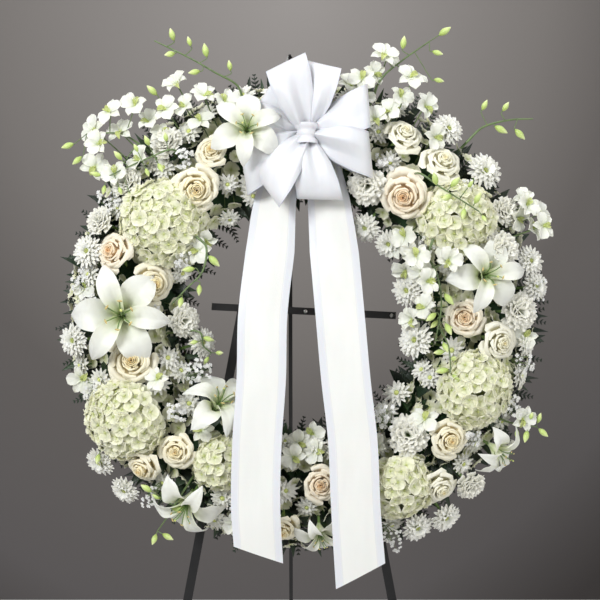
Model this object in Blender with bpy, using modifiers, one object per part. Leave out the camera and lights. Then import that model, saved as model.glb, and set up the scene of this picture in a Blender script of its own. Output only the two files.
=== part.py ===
"""Standing funeral wreath: a ring of flowers with a satin bow, leaning on a folding easel."""
import math
import random

import bmesh
import bpy
import numpy as np
from mathutils import Matrix

# Driving dimensions, in metres
LEAN = math.radians(12.0)
CENTRE_HEIGHT = 0.945
FOAM_IN, FOAM_OUT = 0.1895, 0.3005
FOAM_BACK, FOAM_FRONT = 0.0038, 0.048
FOAM_SHOULDER = 0.010
RING_MID = 0.245
RING_STEPS, KNOT_STEPS = 27, 6
MERGE = 1e-6
TRAY_IN, TRAY_OUT, TRAY_FLOOR, TRAY_LIP, TRAY_WALL = 0.186, 0.304, 0.0035, 0.012, 0.0025
BLOOM_FLOOR = 0.0262
TAIL_BACK = 0.118
STEM_R = 0.0019
LINK_R = 0.0024
BRANCH_R = 0.0021
SPRAY_R, SPRAY_TIP_R = 0.0020, 0.0013
BUD_AT, BUD_R = (-0.006, 0.001, 0.009), (0.0008, 0.0012, 0.0056, 0.0010)
STEM_SUNK = 0.018
SPRAY_KNEE = 0.052
WIRE_R = 0.0009
FULLNESS = 1.13
HOLE_GAP = 0.00035
GAP = 0.0005
SMOOTH_UNDER = math.radians(35.0)
PETAL = 0.0010
LEAF = 0.0009
EASEL_U = -0.018
APEX_V = 0.388
LEG_SLOPE = 0.187
LEG_TOP, LEG_FOOT = 0.348, -0.9586
LEG_W, LEG_T = 0.013, 0.005
FOOT_R, FOOT_HIGH = 0.0125, 0.026
LEG_FRONT = -0.0046
HINGE_V, HINGE_W = 0.345, -0.022
REAR_LEAN = math.radians(14.0)
REAR_LENGTH = 1.3108
RIVET_R = 0.0020
RIBBON = 0.070

COLOURS = {
    "easel_black": (0.02, 0.02, 0.022), "rubber": (0.015, 0.015, 0.015), "tray": (0.03, 0.05, 0.03),
    "foam": (0.08, 0.17, 0.07), "wire": (0.5, 0.5, 0.5), "satin": (0.86, 0.86, 0.9),
    "leaf": (0.02, 0.06, 0.025), "rose": (0.86, 0.74, 0.55), "hydrangea": (0.78, 0.82, 0.68),
    "lily": (0.88, 0.9, 0.85), "white": (0.88, 0.88, 0.84), "orchid": (0.8, 0.85, 0.7),
}

# Each flower: node, kind, across, up, width (mm on the leaning plane, from the ring's centre), lift
FLOWERS = [
    ("roses_upper_left", "rose", -128, 235, 46, 4), ("roses_upper_left", "rose", -152, 181, 67, 4),
    ("roses_left", "rose", -268, 90, 58, 4), ("roses_left", "rose", -216, 45, 61, 0),
    ("rose_mid_left", "rose", -244, -65, 72, 4),
    ("roses_lower_left", "rose", -228, -217, 52, 0), ("roses_lower_left", "rose", -180, -194, 50, 0),
    ("roses_upper_right", "rose", 148, 171, 70, 4), ("roses_upper_right", "rose", 200, 218, 58, 0),
    ("roses_upper_right", "rose", 146, 258, 52, 0),
    ("roses_right", "rose", 233, -3, 54, 0), ("roses_right", "rose", 281, -38, 58, 0),
    ("roses_lower_right", "rose", 210, -177, 55, 2), ("roses_lower_right", "rose", 197, -246, 55, 0),
    ("roses_bottom_right", "rose", 28, -242, 54, -4), ("roses_bottom_right", "rose", 82, -232, 54, -8),
    ("roses_bottom_left", "rose", -29, -304, 52, 0), ("roses_bottom_left", "rose", -62, -246, 56, -8),
    ("hydrangea_upper_left", "hydrangea", -200, 133, 112, -8),
    ("hydrangea_left", "hydrangea", -255, -150, 108, -6),
    ("hydrangea_bottom_left", "hydrangea", -115, -213, 70, -8),
    ("hydrangea_upper_right", "hydrangea", 222, 137, 100, -6),
    ("hydrangea_right", "hydrangea", 248, -106, 98, -6),
    ("hydrangea_bottom_right", "hydrangea", 139, -246, 88, -8),
    ("lily_left", "lily", -258, 0, 150, 26), ("lily_top", "lily", -78, 266, 112, 44),
    ("lily_right", "lily", 264, 58, 120, 22), ("lily_inner_left", "lily", -118, -124, 112, 22),
    ("lily_lower_left", "lily", -168, -276, 112, 14), ("lily_bottom", "lily", 26, -318, 84, 2),
    ("lily_lower_right", "lily", 286, -198, 88, 10),
    ("bunch_left", "carnation", -291, 136, 44, 2), ("bunch_left", "mum", -308, 92, 44, 0),
    ("bunch_left", "mum", -328, -36, 44, 2),
    ("bunch_inner_left", "carnation", -171, -8, 50, 2), ("bunch_inner_left", "mum", -146, -40, 42, 2),
    ("carnation_lower_right", "carnation", 152, -172, 62, 0),
    ("bunch_right", "carnation", 312, 6, 58, 2), ("bunch_right", "mum", 336, 42, 40, 0),
    ("bunch_right", "mum", 328, 78, 42, 0), ("bunch_right", "carnation", 284, 92, 62, 6),
    ("bunch_right", "carnation", 292, 150, 46, 2),
    ("bunch_upper_right", "carnation", 94, 186, 58, 0), ("bunch_upper_right", "mum", 92, 128, 42, 2),
    ("bunch_upper_right", "mum", 126, 104, 40, 2),
    ("mums_inner_right", "mum", 153, 36, 44, 2), ("mums_inner_right", "mum", 165, -36, 50, 2),
    ("mums_top_right", "mum", 210, 268, 44, 2), ("mums_top_right", "mum", 262, 207, 50, 2),
    ("bunch_lower_right", "carnation", 244, -246, 46, 0), ("bunch_lower_right", "mum", 207, -292, 44, 0),
    ("bunch_lower_right", "mum", 166, -306, 42, 0),
    ("mums_lower_left", "mum", -256, -252, 42, 2), ("mums_lower_left", "mum", -292, -212, 42, 2),
    ("bunch_top_left", "carnation", -196, 248, 52, 0), ("bunch_top_left", "carnation", -252, 190, 50, 0),
]

# Each orchid spray: node, height of its stem, the stem's path, its open flowers, its buds (mm)
SPRAYS = [
    ("orchids_top_left", 64, [(-84, 292), (-92, 330), (-126, 351), (-162, 372), (-214, 398)],
     [], [(-187, 402), (-162, 392), (-139, 379), (-188, 378), (-152, 352), (-104, 357)]),
    ("orchids_left", 66, [(-196, 214), (-226, 240), (-262, 262), (-312, 262)],
     [(-196, 296), (-240, 302), (-276, 292), (-292, 246), (-268, 204)],
     [(-335, 246), (-322, 226), (-214, 322)]),
    ("orchids_inner_left", 112, [(-150, 112), (-136, 96), (-142, 62), (-165, 38), (-186, 16)],
     [], [(-128, 80), (-158, 66), (-146, 40), (-172, 22)]),
    ("orchids_top_right", 66, [(92, 288), (112, 338), (142, 366), (184, 396)],
     [(118, 374), (156, 342), (86, 340)], [(146, 390), (203, 408), (192, 380), (194, 340)]),
    ("orchids_right", 66, [(238, 250), (262, 272), (300, 282), (334, 284)],
     [(322, 158), (346, 128)], [(262, 300), (284, 270), (292, 298), (312, 264)]),
    ("orchids_inner_right", 118, [(186, 108), (180, 84), (192, 56), (198, 14), (190, -36)],
     [(160, 84), (206, 78), (176, 48)], [(206, 26), (186, 0), (206, -16), (202, -42)]),
]


def start_empty():
    """Removes whatever the file holds at the start."""
    for ob in list(bpy.data.objects):
        bpy.data.objects.remove(ob, do_unlink=True)


def collection(name, hidden=False):
    made = bpy.data.collections.new(name)
    bpy.context.scene.collection.children.link(made)
    made.hide_render = hidden
    return made


def material(name):
    """One plain material for a colour, made at its first use."""
    if name in bpy.data.materials:
        return bpy.data.materials[name]
    mat = bpy.data.materials.new(name)
    mat.use_nodes = True
    shader = mat.node_tree.nodes["Principled BSDF"]
    shader.inputs["Base Color"].default_value = (*COLOURS[name], 1.0)
    shader.inputs["Roughness"].default_value = 0.45 if name in ("easel_black", "satin") else 0.8
    return mat


# Frames: wreath space is (across, up the lean, out of the front)
ACROSS = np.array((1.0, 0.0, 0.0))
UP = np.array((0.0, math.sin(LEAN), math.cos(LEAN)))
OUT = np.array((0.0, -math.cos(LEAN), math.sin(LEAN)))


def world(points):
    """Wreath space to world space."""
    p = np.asarray(points, float).reshape(-1, 3)
    base = np.array((0.0, 0.0, CENTRE_HEIGHT))
    return base + p[:, :1] * ACROSS + p[:, 1:2] * UP + p[:, 2:] * OUT


def unit(v):
    return np.asarray(v, float) / np.linalg.norm(v)


def frame_about(axis, turn=0.0):
    """Three rows: two across the axis and the axis itself."""
    n = unit(axis)
    side = np.array((0.0, 1.0, 0.0)) if abs(n[1]) < 0.9 else np.array((1.0, 0.0, 0.0))
    a = unit(np.cross(side, n))
    b = np.cross(n, a)
    return np.array((a * math.cos(turn) + b * math.sin(turn), b * math.cos(turn) - a * math.sin(turn), n))


# Closed meshes are (points, triangles)
def blade(grid, thick, sharp=False):
    """A closed sheet from a grid of points, both faces split alike; sharp brings its rim to an edge."""
    g = np.asarray(grid, float)
    m, n = g.shape[:2]
    normal = np.cross(np.gradient(g, axis=0), np.gradient(g, axis=1))
    normal /= np.maximum(np.linalg.norm(normal, axis=2, keepdims=True), 1e-12)
    top = (g + normal * thick / 2).reshape(-1, 3)
    low = (g - normal * thick / 2).reshape(-1, 3)
    rim = [i * n for i in range(m)] + [(m - 1) * n + j for j in range(1, n)]
    rim += [i * n + n - 1 for i in range(m - 2, -1, -1)] + list(range(n - 2, 0, -1))
    edge = set(rim)
    under = {i: i if sharp and i in edge else i + m * n for i in range(m * n)}
    tris = []
    for i in range(m - 1):
        for j in range(n - 1):
            a, b, c, d = i * n + j, (i + 1) * n + j, (i + 1) * n + j + 1, i * n + j + 1
            straight = {a, c} - edge or not {b, d} - edge
            for p, q, r in ((a, b, c), (a, c, d)) if straight else ((a, b, d), (b, c, d)):
                tris += [(p, q, r), (under[r], under[q], under[p])]
    if sharp:
        top[rim] = g.reshape(-1, 3)[rim]
        return tidy(np.vstack((top, low)), tris)
    for a, b in zip(rim, rim[1:] + rim[:1]):
        tris += [(b, a, under[a]), (b, under[a], under[b])]
    return np.vstack((top, low)), np.array(tris)


def tidy(points, tris):
    """The mesh without the points that no triangle uses."""
    used, index = np.unique(np.array(tris), return_inverse=True)
    return points[used], index.reshape(-1, 3)


def star(outline, centre, thick, lift):
    """A closed thin plate round one middle point, thick there and sharp at its rim."""
    rim = np.asarray(outline, float)
    n = len(rim)
    up = unit(lift) * thick
    pts = np.vstack((rim, [np.asarray(centre) + up * 0.5], [np.asarray(centre) - up * 0.5]))
    tris = []
    for i in range(n):
        j = (i + 1) % n
        tris += [(i, j, n), (j, i, n + 1)]
    return pts, np.array(tris)


def daisy(rim, ring, middle, under):
    """A closed flower head: a rim of petals, a ring round the dome, its top and the point beneath."""
    n, k = len(rim), len(ring)
    pts = np.vstack((rim, ring, [middle], [under]))
    tris = []
    for i in range(k):
        j = (i + 1) % k
        a, b, c = 2 * i, 2 * i + 1, (2 * i + 2) % n
        tris += [(n + i, a, b), (n + i, b, n + j), (n + j, b, c), (n + i, n + j, n + k)]
    for i in range(n):
        tris.append(((i + 1) % n, i, n + k + 1))
    return pts, np.array(tris)


def read_mesh(data):
    """The points and triangles of a mesh."""
    data.calc_loop_triangles()
    points = np.array([v.co for v in data.vertices])
    return points, np.array([tri.vertices for tri in data.loop_triangles])


def read_object(data, steps=0):
    """The points and triangles of a curve, or of a profile that a Screw modifier turns."""
    ob = bpy.data.objects.new("helper", data)
    bpy.context.scene.collection.objects.link(ob)
    if steps:
        turn = ob.modifiers.new("turn", "SCREW")
        turn.steps = turn.render_steps = steps
        turn.use_merge_vertices = True
        turn.merge_threshold = MERGE
    bpy.context.view_layer.update()
    shown = ob.evaluated_get(bpy.context.evaluated_depsgraph_get())
    points, tris = read_mesh(shown.to_mesh())
    shown.to_mesh_clear()
    bpy.data.objects.remove(ob, do_unlink=True)
    _, keep, index = np.unique(np.round(points / MERGE), axis=0, return_index=True, return_inverse=True)
    return points[keep], index.reshape(-1)[tris]


def primitive(bm):
    """The points and triangles of a primitive in a bmesh."""
    data = bpy.data.meshes.new("primitive")
    bm.to_mesh(data)
    bm.free()
    mesh = read_mesh(data)
    bpy.data.meshes.remove(data)
    return mesh


def rod(start, end, radius, sides, end_radius=None):
    """A straight round bar, or a cone where its two radii differ."""
    start, end = np.asarray(start, float), np.asarray(end, float)
    far = radius if end_radius is None else end_radius
    bm = bmesh.new()
    bmesh.ops.create_cone(bm, cap_ends=True, segments=sides, radius1=radius, radius2=far,
                          depth=np.linalg.norm(end - start))
    return placed(primitive(bm), frame_about(end - start), (start + end) / 2)


def block(centre, axes, size):
    """A box of that size with its sides along three axes."""
    bm = bmesh.new()
    bmesh.ops.create_cube(bm, size=1.0)
    points, tris = primitive(bm)
    return placed((points * size, tris), axes, centre)


def box(low, high):
    low, high = np.asarray(low, float), np.asarray(high, float)
    return block((low + high) / 2, np.eye(3), high - low)


def bar(a, b, wide, front, back, side):
    """A flat bar in the leaning plane from a to b, with its faces at two depths."""
    a, b = np.asarray(a, float), np.asarray(b, float)
    axes = np.array(((*unit(b - a), 0.0), (*side, 0.0), (0.0, 0.0, 1.0)))
    return block((*((a + b) / 2), (front + back) / 2), axes, (np.linalg.norm(b - a), wide, front - back))


def wire(path, radii, sides=4):
    """A round bar along a bent path: a curve with a bevel and filled caps."""
    path = np.asarray(path, float)
    data = bpy.data.curves.new("wire", "CURVE")
    data.dimensions = "3D"
    data.bevel_depth = 1.0
    data.bevel_resolution = sides // 2 - 2
    data.use_fill_caps = True
    spline = data.splines.new("POLY")
    spline.points.add(len(path) - 1)
    for point, place, radius in zip(spline.points, path, np.broadcast_to(radii, len(path))):
        point.co = (*place, 1.0)
        point.radius = radius
    mesh = read_object(data)
    bpy.data.curves.remove(data)
    return mesh


def turned(section, steps, closed=True):
    """A profile of (radius, depth) turned about the third axis."""
    n = len(section)
    edges = [(i, i + 1) for i in range(n - 1)] + ([(n - 1, 0)] if closed else [])
    data = bpy.data.meshes.new("profile")
    data.from_pydata([(r, 0.0, w) for r, w in section], edges, [])
    mesh = read_object(data, steps)
    bpy.data.meshes.remove(data)
    return mesh


def outward(mesh):
    """The same mesh with its triangles facing out."""
    p, t = mesh
    volume = np.einsum("ij,ij->i", p[t[:, 0]], np.cross(p[t[:, 1]], p[t[:, 2]])).sum()
    return (p, t) if volume > 0 else (p, t[:, ::-1])


def placed(mesh, axes, origin):
    p, t = mesh
    return p @ np.asarray(axes) + origin, t


# Objects and Booleans
def add_object(name, mesh, where):
    p, t = outward(mesh)
    data = bpy.data.meshes.new(name)
    data.from_pydata([tuple(q) for q in p], [], [tuple(int(i) for i in f) for f in t])
    data.update()
    ob = bpy.data.objects.new(name, data)
    where.objects.link(ob)
    return ob


def combine(name, meshes, colour, where, cutters=(), to_world=True):
    """One body: the union of the meshes less the cutters."""
    turn = world if to_world else (lambda p: np.asarray(p))
    meshes = [(turn(p), t) for p, t in meshes]
    ob = add_object(name, meshes[0], where)
    ob.data.materials.append(material(colour))
    for rest, how in ((meshes[1:], "UNION"), ([(turn(p), t) for p, t in cutters], "DIFFERENCE")):
        if not rest:
            continue
        helpers = collection("helpers_" + name + how, hidden=True)
        for i, mesh in enumerate(rest):
            helper = add_object(f"helper_{i}", mesh, helpers)
            helper.hide_render = True
            helper.display_type = "WIRE"
        step = ob.modifiers.new(how.lower(), "BOOLEAN")
        step.operand_type = "COLLECTION"
        step.collection = helpers
        step.operation = how
        step.solver = "MANIFOLD"
        apply_modifiers(ob)
        for helper in list(helpers.objects):
            bpy.data.objects.remove(helper, do_unlink=True)
        bpy.data.collections.remove(helpers)
    keep_largest(ob)
    return ob


def apply_modifiers(ob):
    bpy.context.view_layer.update()
    graph = bpy.context.evaluated_depsgraph_get()
    made = bpy.data.meshes.new_from_object(ob.evaluated_get(graph))
    ob.modifiers.clear()
    old = ob.data
    ob.data = made
    bpy.data.meshes.remove(old)


def keep_largest(ob):
    """Drops loose scraps and closed hollows, keeping the largest shell."""
    data = ob.data
    data.calc_loop_triangles()
    p = np.array([v.co for v in data.vertices])
    t = np.array([tri.vertices for tri in data.loop_triangles])
    group = np.arange(len(p))
    while True:
        low = group[t].min(axis=1)
        new = group.copy()
        np.minimum.at(new, t.ravel(), np.repeat(low, 3))
        new = new[new]
        if (new == group).all():
            break
        group = new
    shells = {}
    for g in np.unique(group[t[:, 0]]):
        own = t[group[t[:, 0]] == g]
        shells[g] = np.einsum("ij,ij->i", p[own[:, 0]], np.cross(p[own[:, 1]], p[own[:, 2]])).sum() / 6
    best = max(shells, key=shells.get)
    if len(shells) > 1:
        print("scraps dropped from", ob.name, len(shells) - 1)
        own = t[group[t[:, 0]] == best]
        used = np.unique(own)
        index = np.full(len(p), -1)
        index[used] = np.arange(len(used))
        mat = data.materials[0] if data.materials else None
        data.clear_geometry()
        data.from_pydata([tuple(q) for q in p[used]], [], [tuple(int(i) for i in f) for f in index[own]])
        data.update()
        if mat and not data.materials:
            data.materials.append(mat)


# Flowers in their own space: z points out of the flower, size 1 is its radius
def ring_points(count, radius, height, turn):
    angles = [turn + k * math.tau / count for k in range(count)]
    return [(radius * math.cos(a), radius * math.sin(a), height) for a in angles]


def rosette(count, rings, tiers, top, bottom, sharpness=1.0):
    """One closed flower: tiers of petals, each standing between two rings of points.

    rings has (radius, height, turn) from the outside in; tiers has the petals between them, each as
    (outer middle, inner middle, shoulder, tip) with (radius, height) each, and the shoulder's half angle."""
    pts = [(0.0, 0.0, bottom)]
    for radius, height, turn in rings:
        pts += ring_points(count, radius, height, turn)
    pts.append((0.0, 0.0, top))
    last = len(pts) - 1
    tris = []
    for k in range(count):
        tris.append((0, 1 + (k + 1) % count, 1 + k))
        end = 1 + (len(rings) - 1) * count
        tris.append((last, end + k, end + (k + 1) % count))
    for i, tier in enumerate(tiers):
        if tier is None:
            base = 1 + i * count
            for k in range(count):
                a0, a1 = base + k, base + (k + 1) % count
                tris += [(a0, a1, a1 + count), (a0, a1 + count, a0 + count)]
            continue
        out_mid, in_mid, shoulder, tip, half = tier
        turn = (rings[i][2] + rings[i + 1][2]) / 2 + math.pi / count
        for k in range(count):
            a = turn + k * math.tau / count
            spots = [(*out_mid, 0), (*in_mid, 0), (*shoulder, -half), (*tip, 0), (*shoulder, half)]
            n = len(pts)
            pts += [(r * math.cos(a + s), r * math.sin(a + s), h) for r, h, s in spots]
            om, im, left, peak, right = range(n, n + 5)
            o0, o1 = 1 + i * count + k, 1 + i * count + (k + 1) % count
            i0, i1 = o0 + count, o1 + count
            tris += [(om, o0, o1), (om, o1, right), (om, right, peak), (om, peak, left), (om, left, o0)]
            tris += [(im, i1, i0), (im, right, i1), (im, peak, right), (im, left, peak), (im, i0, left)]
            tris += [(o0, left, i0), (o1, i1, right)]
    return np.array(pts), np.array(tris)


def flower_rose(size, rng):
    t = rng.uniform(0, 6)
    rings = [(0.34, -0.52, t), (0.44, -0.16, t + 0.25), (0.25, 0.10, t + 0.6), (0.20, 0.62, t + 0.8)]
    outer = ((0.84, -0.16), (0.72, -0.08), (1.0, 0.20), (1.0, 0.40), 0.52)
    middle = ((0.56, 0.18), (0.45, 0.20), (0.60, 0.52), (0.56, 0.66), 0.50)
    mesh = rosette(5, rings, [outer, middle, None], 0.74, -0.66)
    return [(mesh[0] * size, mesh[1])]


def flower_carnation(size, rng):
    t = rng.uniform(0, 6)
    rings = [(0.30, -0.42, t), (0.34, -0.02, t + 0.3), (0.16, 0.22, t + 0.75)]
    outer = ((0.70, -0.06), (0.62, 0.06), (1.0, 0.16), (0.86, 0.02), 0.58)
    middle = ((0.44, 0.34), (0.36, 0.36), (0.66, 0.60), (0.54, 0.46), 0.55)
    mesh = rosette(5, rings, [outer, middle], 0.52, -0.62)
    return [(mesh[0] * size, mesh[1])]


def flower_lily(size, rng):
    t = rng.uniform(0, 1)
    rings = [(0.20, -0.14, t), (0.15, -0.06, t)]
    tepal = ((0.55, 0.06), (0.53, 0.10), (0.62, 0.17), (1.0, 0.0), 0.36)
    mesh = rosette(6, rings, [tepal], -0.26, -0.42)
    return [(mesh[0] * size, mesh[1])]


def rhomb_faces():
    """Corners and faces of a solid with 18 squares and 8 triangles."""
    big = 1 + math.sqrt(2)
    pts = [p for p in ((x, y, z) for x in (-big, -1, 1, big) for y in (-big, -1, 1, big)
                       for z in (-big, -1, 1, big)) if sorted(map(abs, p)) == [1, 1, big]]
    ways = [(x, y, z) for x in (-1, 0, 1) for y in (-1, 0, 1) for z in (-1, 0, 1) if (x, y, z) != (0, 0, 0)]
    faces = []
    for way in ways:
        n = unit(way)
        far = [float(np.dot(p, n)) for p in pts]
        face = [i for i, d in enumerate(far) if d > max(far) - 1e-6]
        axes = frame_about(n)
        mid = np.mean([pts[i] for i in face], axis=0)
        face.sort(key=lambda i: math.atan2(np.dot(pts[i] - mid, axes[1]), np.dot(pts[i] - mid, axes[0])))
        faces.append(face)
    return np.array(pts) / np.linalg.norm(pts[0]), faces


def flower_hydrangea(size, rng):
    """A head whose upper square faces each open into a floret of four petals."""
    pts, faces = rhomb_faces()
    pts = [np.array(p) * (0.74, 0.74, 0.60) for p in pts]
    tris = []
    for face in faces:
        mid = np.mean([pts[i] for i in face], axis=0)
        if len(face) == 3 or mid[2] < -0.05:
            tris += [(face[0], face[i], face[i + 1]) for i in range(1, len(face) - 1)]
            continue
        way = unit(mid / (0.55, 0.55, 0.36))
        n = len(pts)
        for i in range(4):
            corner, after = pts[face[i]], pts[face[(i + 1) % 4]]
            pts.append(mid + (corner - mid) * 1.08 + way * rng.uniform(0.20, 0.26))
            pts.append(mid + ((corner + after) / 2 - mid) * 0.62 + way * 0.09)
        pts.append(mid + way * 0.05)
        for i in range(4):
            j = (i + 1) % 4
            c0, c1, tip0, notch, tip1 = face[i], face[j], n + 2 * i, n + 2 * i + 1, n + 2 * j
            tris += [(c0, c1, notch), (c0, notch, tip0), (c1, tip1, notch)]
            tris += [(n + 8, tip0, notch), (n + 8, notch, tip1)]
    turn = frame_about((0, 0, 1), rng.uniform(0, 3))
    return [(np.array(pts) @ turn * size, np.array(tris))]


def flower_mum(size, rng):
    start = rng.uniform(0, 1)
    rim, ring = [], []
    for k in range(16):
        far, high = (1.0, 0.10) if k % 2 == 0 else (0.52, 0.0)
        a = start + k * math.tau / 16
        rim.append((far * math.cos(a), far * math.sin(a), high))
        if k % 2 == 0:
            ring.append((0.30 * math.cos(a), 0.30 * math.sin(a), 0.10))
    head = daisy(np.array(rim), np.array(ring), (0, 0, 0.24), (0, 0, -0.26))
    return [(head[0] * size, head[1])]


def flower_orchid(size, rng):
    """Five tepals round a raised middle."""
    start = rng.uniform(0, 1)
    rim = []
    for k in range(10):
        far, high = (1.0, 0.16) if k % 2 == 0 else (0.34, 0.04)
        a = start + k * math.tau / 10
        rim.append((far * math.cos(a), far * math.sin(a), high))
    return [star(np.array(rim) * size, (0, 0, -0.02 * size), 0.0030, (0, 0, 1))]


KINDS = {"rose": flower_rose, "hydrangea": flower_hydrangea, "lily": flower_lily,
         "carnation": flower_carnation, "mum": flower_mum}
SECTION = [(FOAM_IN, FOAM_BACK), (FOAM_OUT, FOAM_BACK), (FOAM_OUT, FOAM_FRONT - FOAM_SHOULDER),
           (FOAM_OUT - FOAM_SHOULDER, FOAM_FRONT), (FOAM_IN + FOAM_SHOULDER, FOAM_FRONT),
           (FOAM_IN, FOAM_FRONT - FOAM_SHOULDER)]


class Bloom:
    """One flower's place: its centre, the way it faces, and its stem's end in the foam."""

    def __init__(self, node, kind, u, v, wide, lift):
        self.node, self.kind = node, kind
        self.size = wide / 2000 * (1.0 if kind == "lily" else FULLNESS)
        across = np.array((u, v)) / 1000
        r = np.linalg.norm(across)
        self.round = across / r
        side = (r - RING_MID) / 0.11
        depth = 0.092 - 0.037 * side * side + lift / 1000
        self.centre = np.array((*across, depth))
        core = np.array((*(self.round * RING_MID), 0.020))
        self.axis = unit(self.centre - core)
        self.stem_end = stem_root(self.centre)


def stem_root(start):
    """Where a stem that begins there ends, sunk inside the foam's surface."""
    r = np.linalg.norm(start[:2])
    way = unit((RING_MID - r, 0.020 - start[2]))
    here = np.array((r, start[2]))
    while not inside_section(here):
        here = here + way * 0.001
    here = here + way * STEM_SUNK
    return np.array((*(np.asarray(start[:2]) / r * here[0]), here[1]))


def stem_hole(start, end):
    """A cutter for the plain hole in the foam that a stem stands in."""
    return rod(start, end + (end - start) * 0.012, STEM_R + HOLE_GAP * 1.5, 4)


def inside_section(p):
    for (r0, w0), (r1, w1) in zip(SECTION, SECTION[1:] + SECTION[:1]):
        if (r1 - r0) * (p[1] - w0) - (w1 - w0) * (p[0] - r0) < 0:
            return False
    return True


def floor_planes(bloom):
    """Half spaces (point, normal) that keep a bloom off the foam and the leaves."""
    c, n = bloom.centre, bloom.axis
    r_hat = np.array((*bloom.round, 0.0))
    nr, nw = np.dot(n, r_hat), n[2]
    top = max(r * nr + w * nw for r, w in SECTION)
    bend = bloom.size ** 2 / (2 * FOAM_IN) * max(0.0, -nr)
    on = (top + 0.001 + bend) * n
    planes = [(on, -n), (np.array((0, 0, BLOOM_FLOOR)), np.array((0, 0, -1.0)))]
    if c[1] < -0.11 and abs(c[0]) < 0.19:
        planes.append((np.array((0, 0, TAIL_BACK)), np.array((0, 0, 1.0))))
    return planes


def squeezed(points, centre, planes):
    """Points drawn in along the lines to the centre until they keep behind every plane."""
    rel = points - centre
    far = np.linalg.norm(rel, axis=1)
    way = rel / np.maximum(far, 1e-9)[:, None]
    room = np.full(len(points), 1.0)
    for on, n in planes:
        t = np.dot(on - centre, n)
        slope = way @ n
        here = np.where(slope > 1e-6, t / np.maximum(slope, 1e-6), 1.0)
        room = np.minimum(room, here)
    near = np.exp(14.0 * (way @ way.T - 1.0))
    reach = ((near * far[None, :] ** 12).sum(1) / near.sum(1)) ** (1 / 12) * 1.22
    share = np.minimum(1.0, room / np.maximum(reach, 1e-6))
    new = far * share
    limit = room * 0.995
    over = new > 0.86 * limit
    soft = limit * (1 - 0.14 * np.exp(-(new - 0.86 * limit) / (0.14 * limit)))
    new = np.where(over, np.minimum(new, soft), new)
    return centre + way * new[:, None]


def main():
    start_empty()
    made = collection("funeral_wreath")
    build_easel(made)
    holes = build_flowers(made)
    holes += build_leaves(made)
    build_bow(made)
    build_ring(made, holes)
    seat_at_origin(made)


def build_flowers(made):
    rng = random.Random(7)
    blooms = [Bloom(*row) for row in FLOWERS]
    shapes, fixed = [], []
    for b in blooms:
        axes = frame_about(b.axis, rng.uniform(0, 6))
        shapes.append([placed(m, axes, b.centre) for m in KINDS[b.kind](b.size, rng)])
    nodes, holes = {}, []
    for i, (b, meshes) in enumerate(zip(blooms, shapes)):
        if b.kind == "lily":
            fixed += [(b.node, p, 0.0024) for p in samples(meshes)]
        if b.node in nodes:
            continue
        nodes[b.node] = [rod(b.centre, b.stem_end, STEM_R, 4)]
        holes.append(stem_hole(b.centre, b.stem_end))
        fixed += [(b.node, p, 0.0032) for p in np.linspace(b.centre, b.stem_end, 9)[3:]]
    for a, b in zip(blooms, blooms[1:]):
        if a.node == b.node:
            ends = [a.centre - a.axis * a.size * 0.10, b.centre - b.axis * b.size * 0.10]
            nodes[a.node].append(rod(*ends, LINK_R, 3))
            fixed += [(a.node, p, 0.004) for p in np.linspace(*ends, 7)]
    sprays, roots = build_sprays(rng)
    holes += roots
    for name, meshes in sprays.items():
        fixed += [(name, p, 0.0024) for p in samples(meshes)]
    bow = bow_meshes()
    holes.append(stem_hole(*np.array(PICK)))
    fixed += [("bow", p, 0.0030) for p in samples(bow)]
    for b, meshes in zip(blooms, shapes):
        planes = floor_planes(b)
        if b.kind != "lily":
            planes += soft_planes(b, blooms) + fixed_planes(b, fixed)
        count = [len(p) for p, _ in meshes]
        moved = squeezed(np.vstack([p for p, _ in meshes]), b.centre, planes)
        at = 0
        for n, (_, t) in zip(count, meshes):
            nodes[b.node].append((moved[at:at + n], t))
            at += n
    colours = {"rose": "rose", "hydrangea": "hydrangea", "lily": "lily", "carnation": "white", "mum": "white"}
    kind_of = {b.node: b.kind for b in reversed(blooms)}
    for name, meshes in nodes.items():
        combine(name, meshes, colours[kind_of[name]], made)
    for name, meshes in sprays.items():
        combine(name, meshes, "orchid", made)
    return holes


def samples(meshes):
    """Points close together over some meshes, which others keep clear of."""
    found = []
    for p, t in meshes:
        a, b, c = p[t[:, 0]], p[t[:, 1]], p[t[:, 2]]
        found += [a, (a + b) / 2, (b + c) / 2, (a + c) / 2, (a + b + c) / 3]
    pts = np.vstack(found)
    _, keep = np.unique(np.round(pts / 0.005), axis=0, return_index=True)
    return pts[keep]


def soft_planes(bloom, blooms):
    planes = []
    for other in blooms:
        if other.node == bloom.node or other.kind == "lily":
            continue
        way = other.centre - bloom.centre
        d = np.linalg.norm(way)
        if d > bloom.size + other.size + 0.08:
            continue
        share = (d * d + bloom.size ** 2 - other.size ** 2) / (2 * d)
        share = min(max(share, 0.25 * d), 0.75 * d) - GAP
        planes.append((bloom.centre + way / d * share, way / d))
    return planes


def fixed_planes(bloom, fixed):
    planes = []
    for node, p, ball in fixed:
        way = p - bloom.centre
        d = np.linalg.norm(way)
        if node == bloom.node or d > bloom.size * 1.4 + 0.01:
            continue
        planes.append((bloom.centre + way / d * max(d - ball, 0.004), way / d))
    return planes


def curve(points, steps):
    """A smooth path through the points."""
    p = np.asarray(points, float)
    p = np.vstack((2 * p[0] - p[1], p, 2 * p[-1] - p[-2]))
    out = []
    for i in range(1, len(p) - 2):
        a, b, c, d = p[i - 1:i + 3]
        for t in np.arange(steps) / steps:
            out.append(0.5 * (2 * b + (c - a) * t + (2 * a - 5 * b + 4 * c - d) * t * t
                              + (3 * b - a - 3 * c + d) * t ** 3))
    out.append(p[-2])
    return np.array(out)


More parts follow.
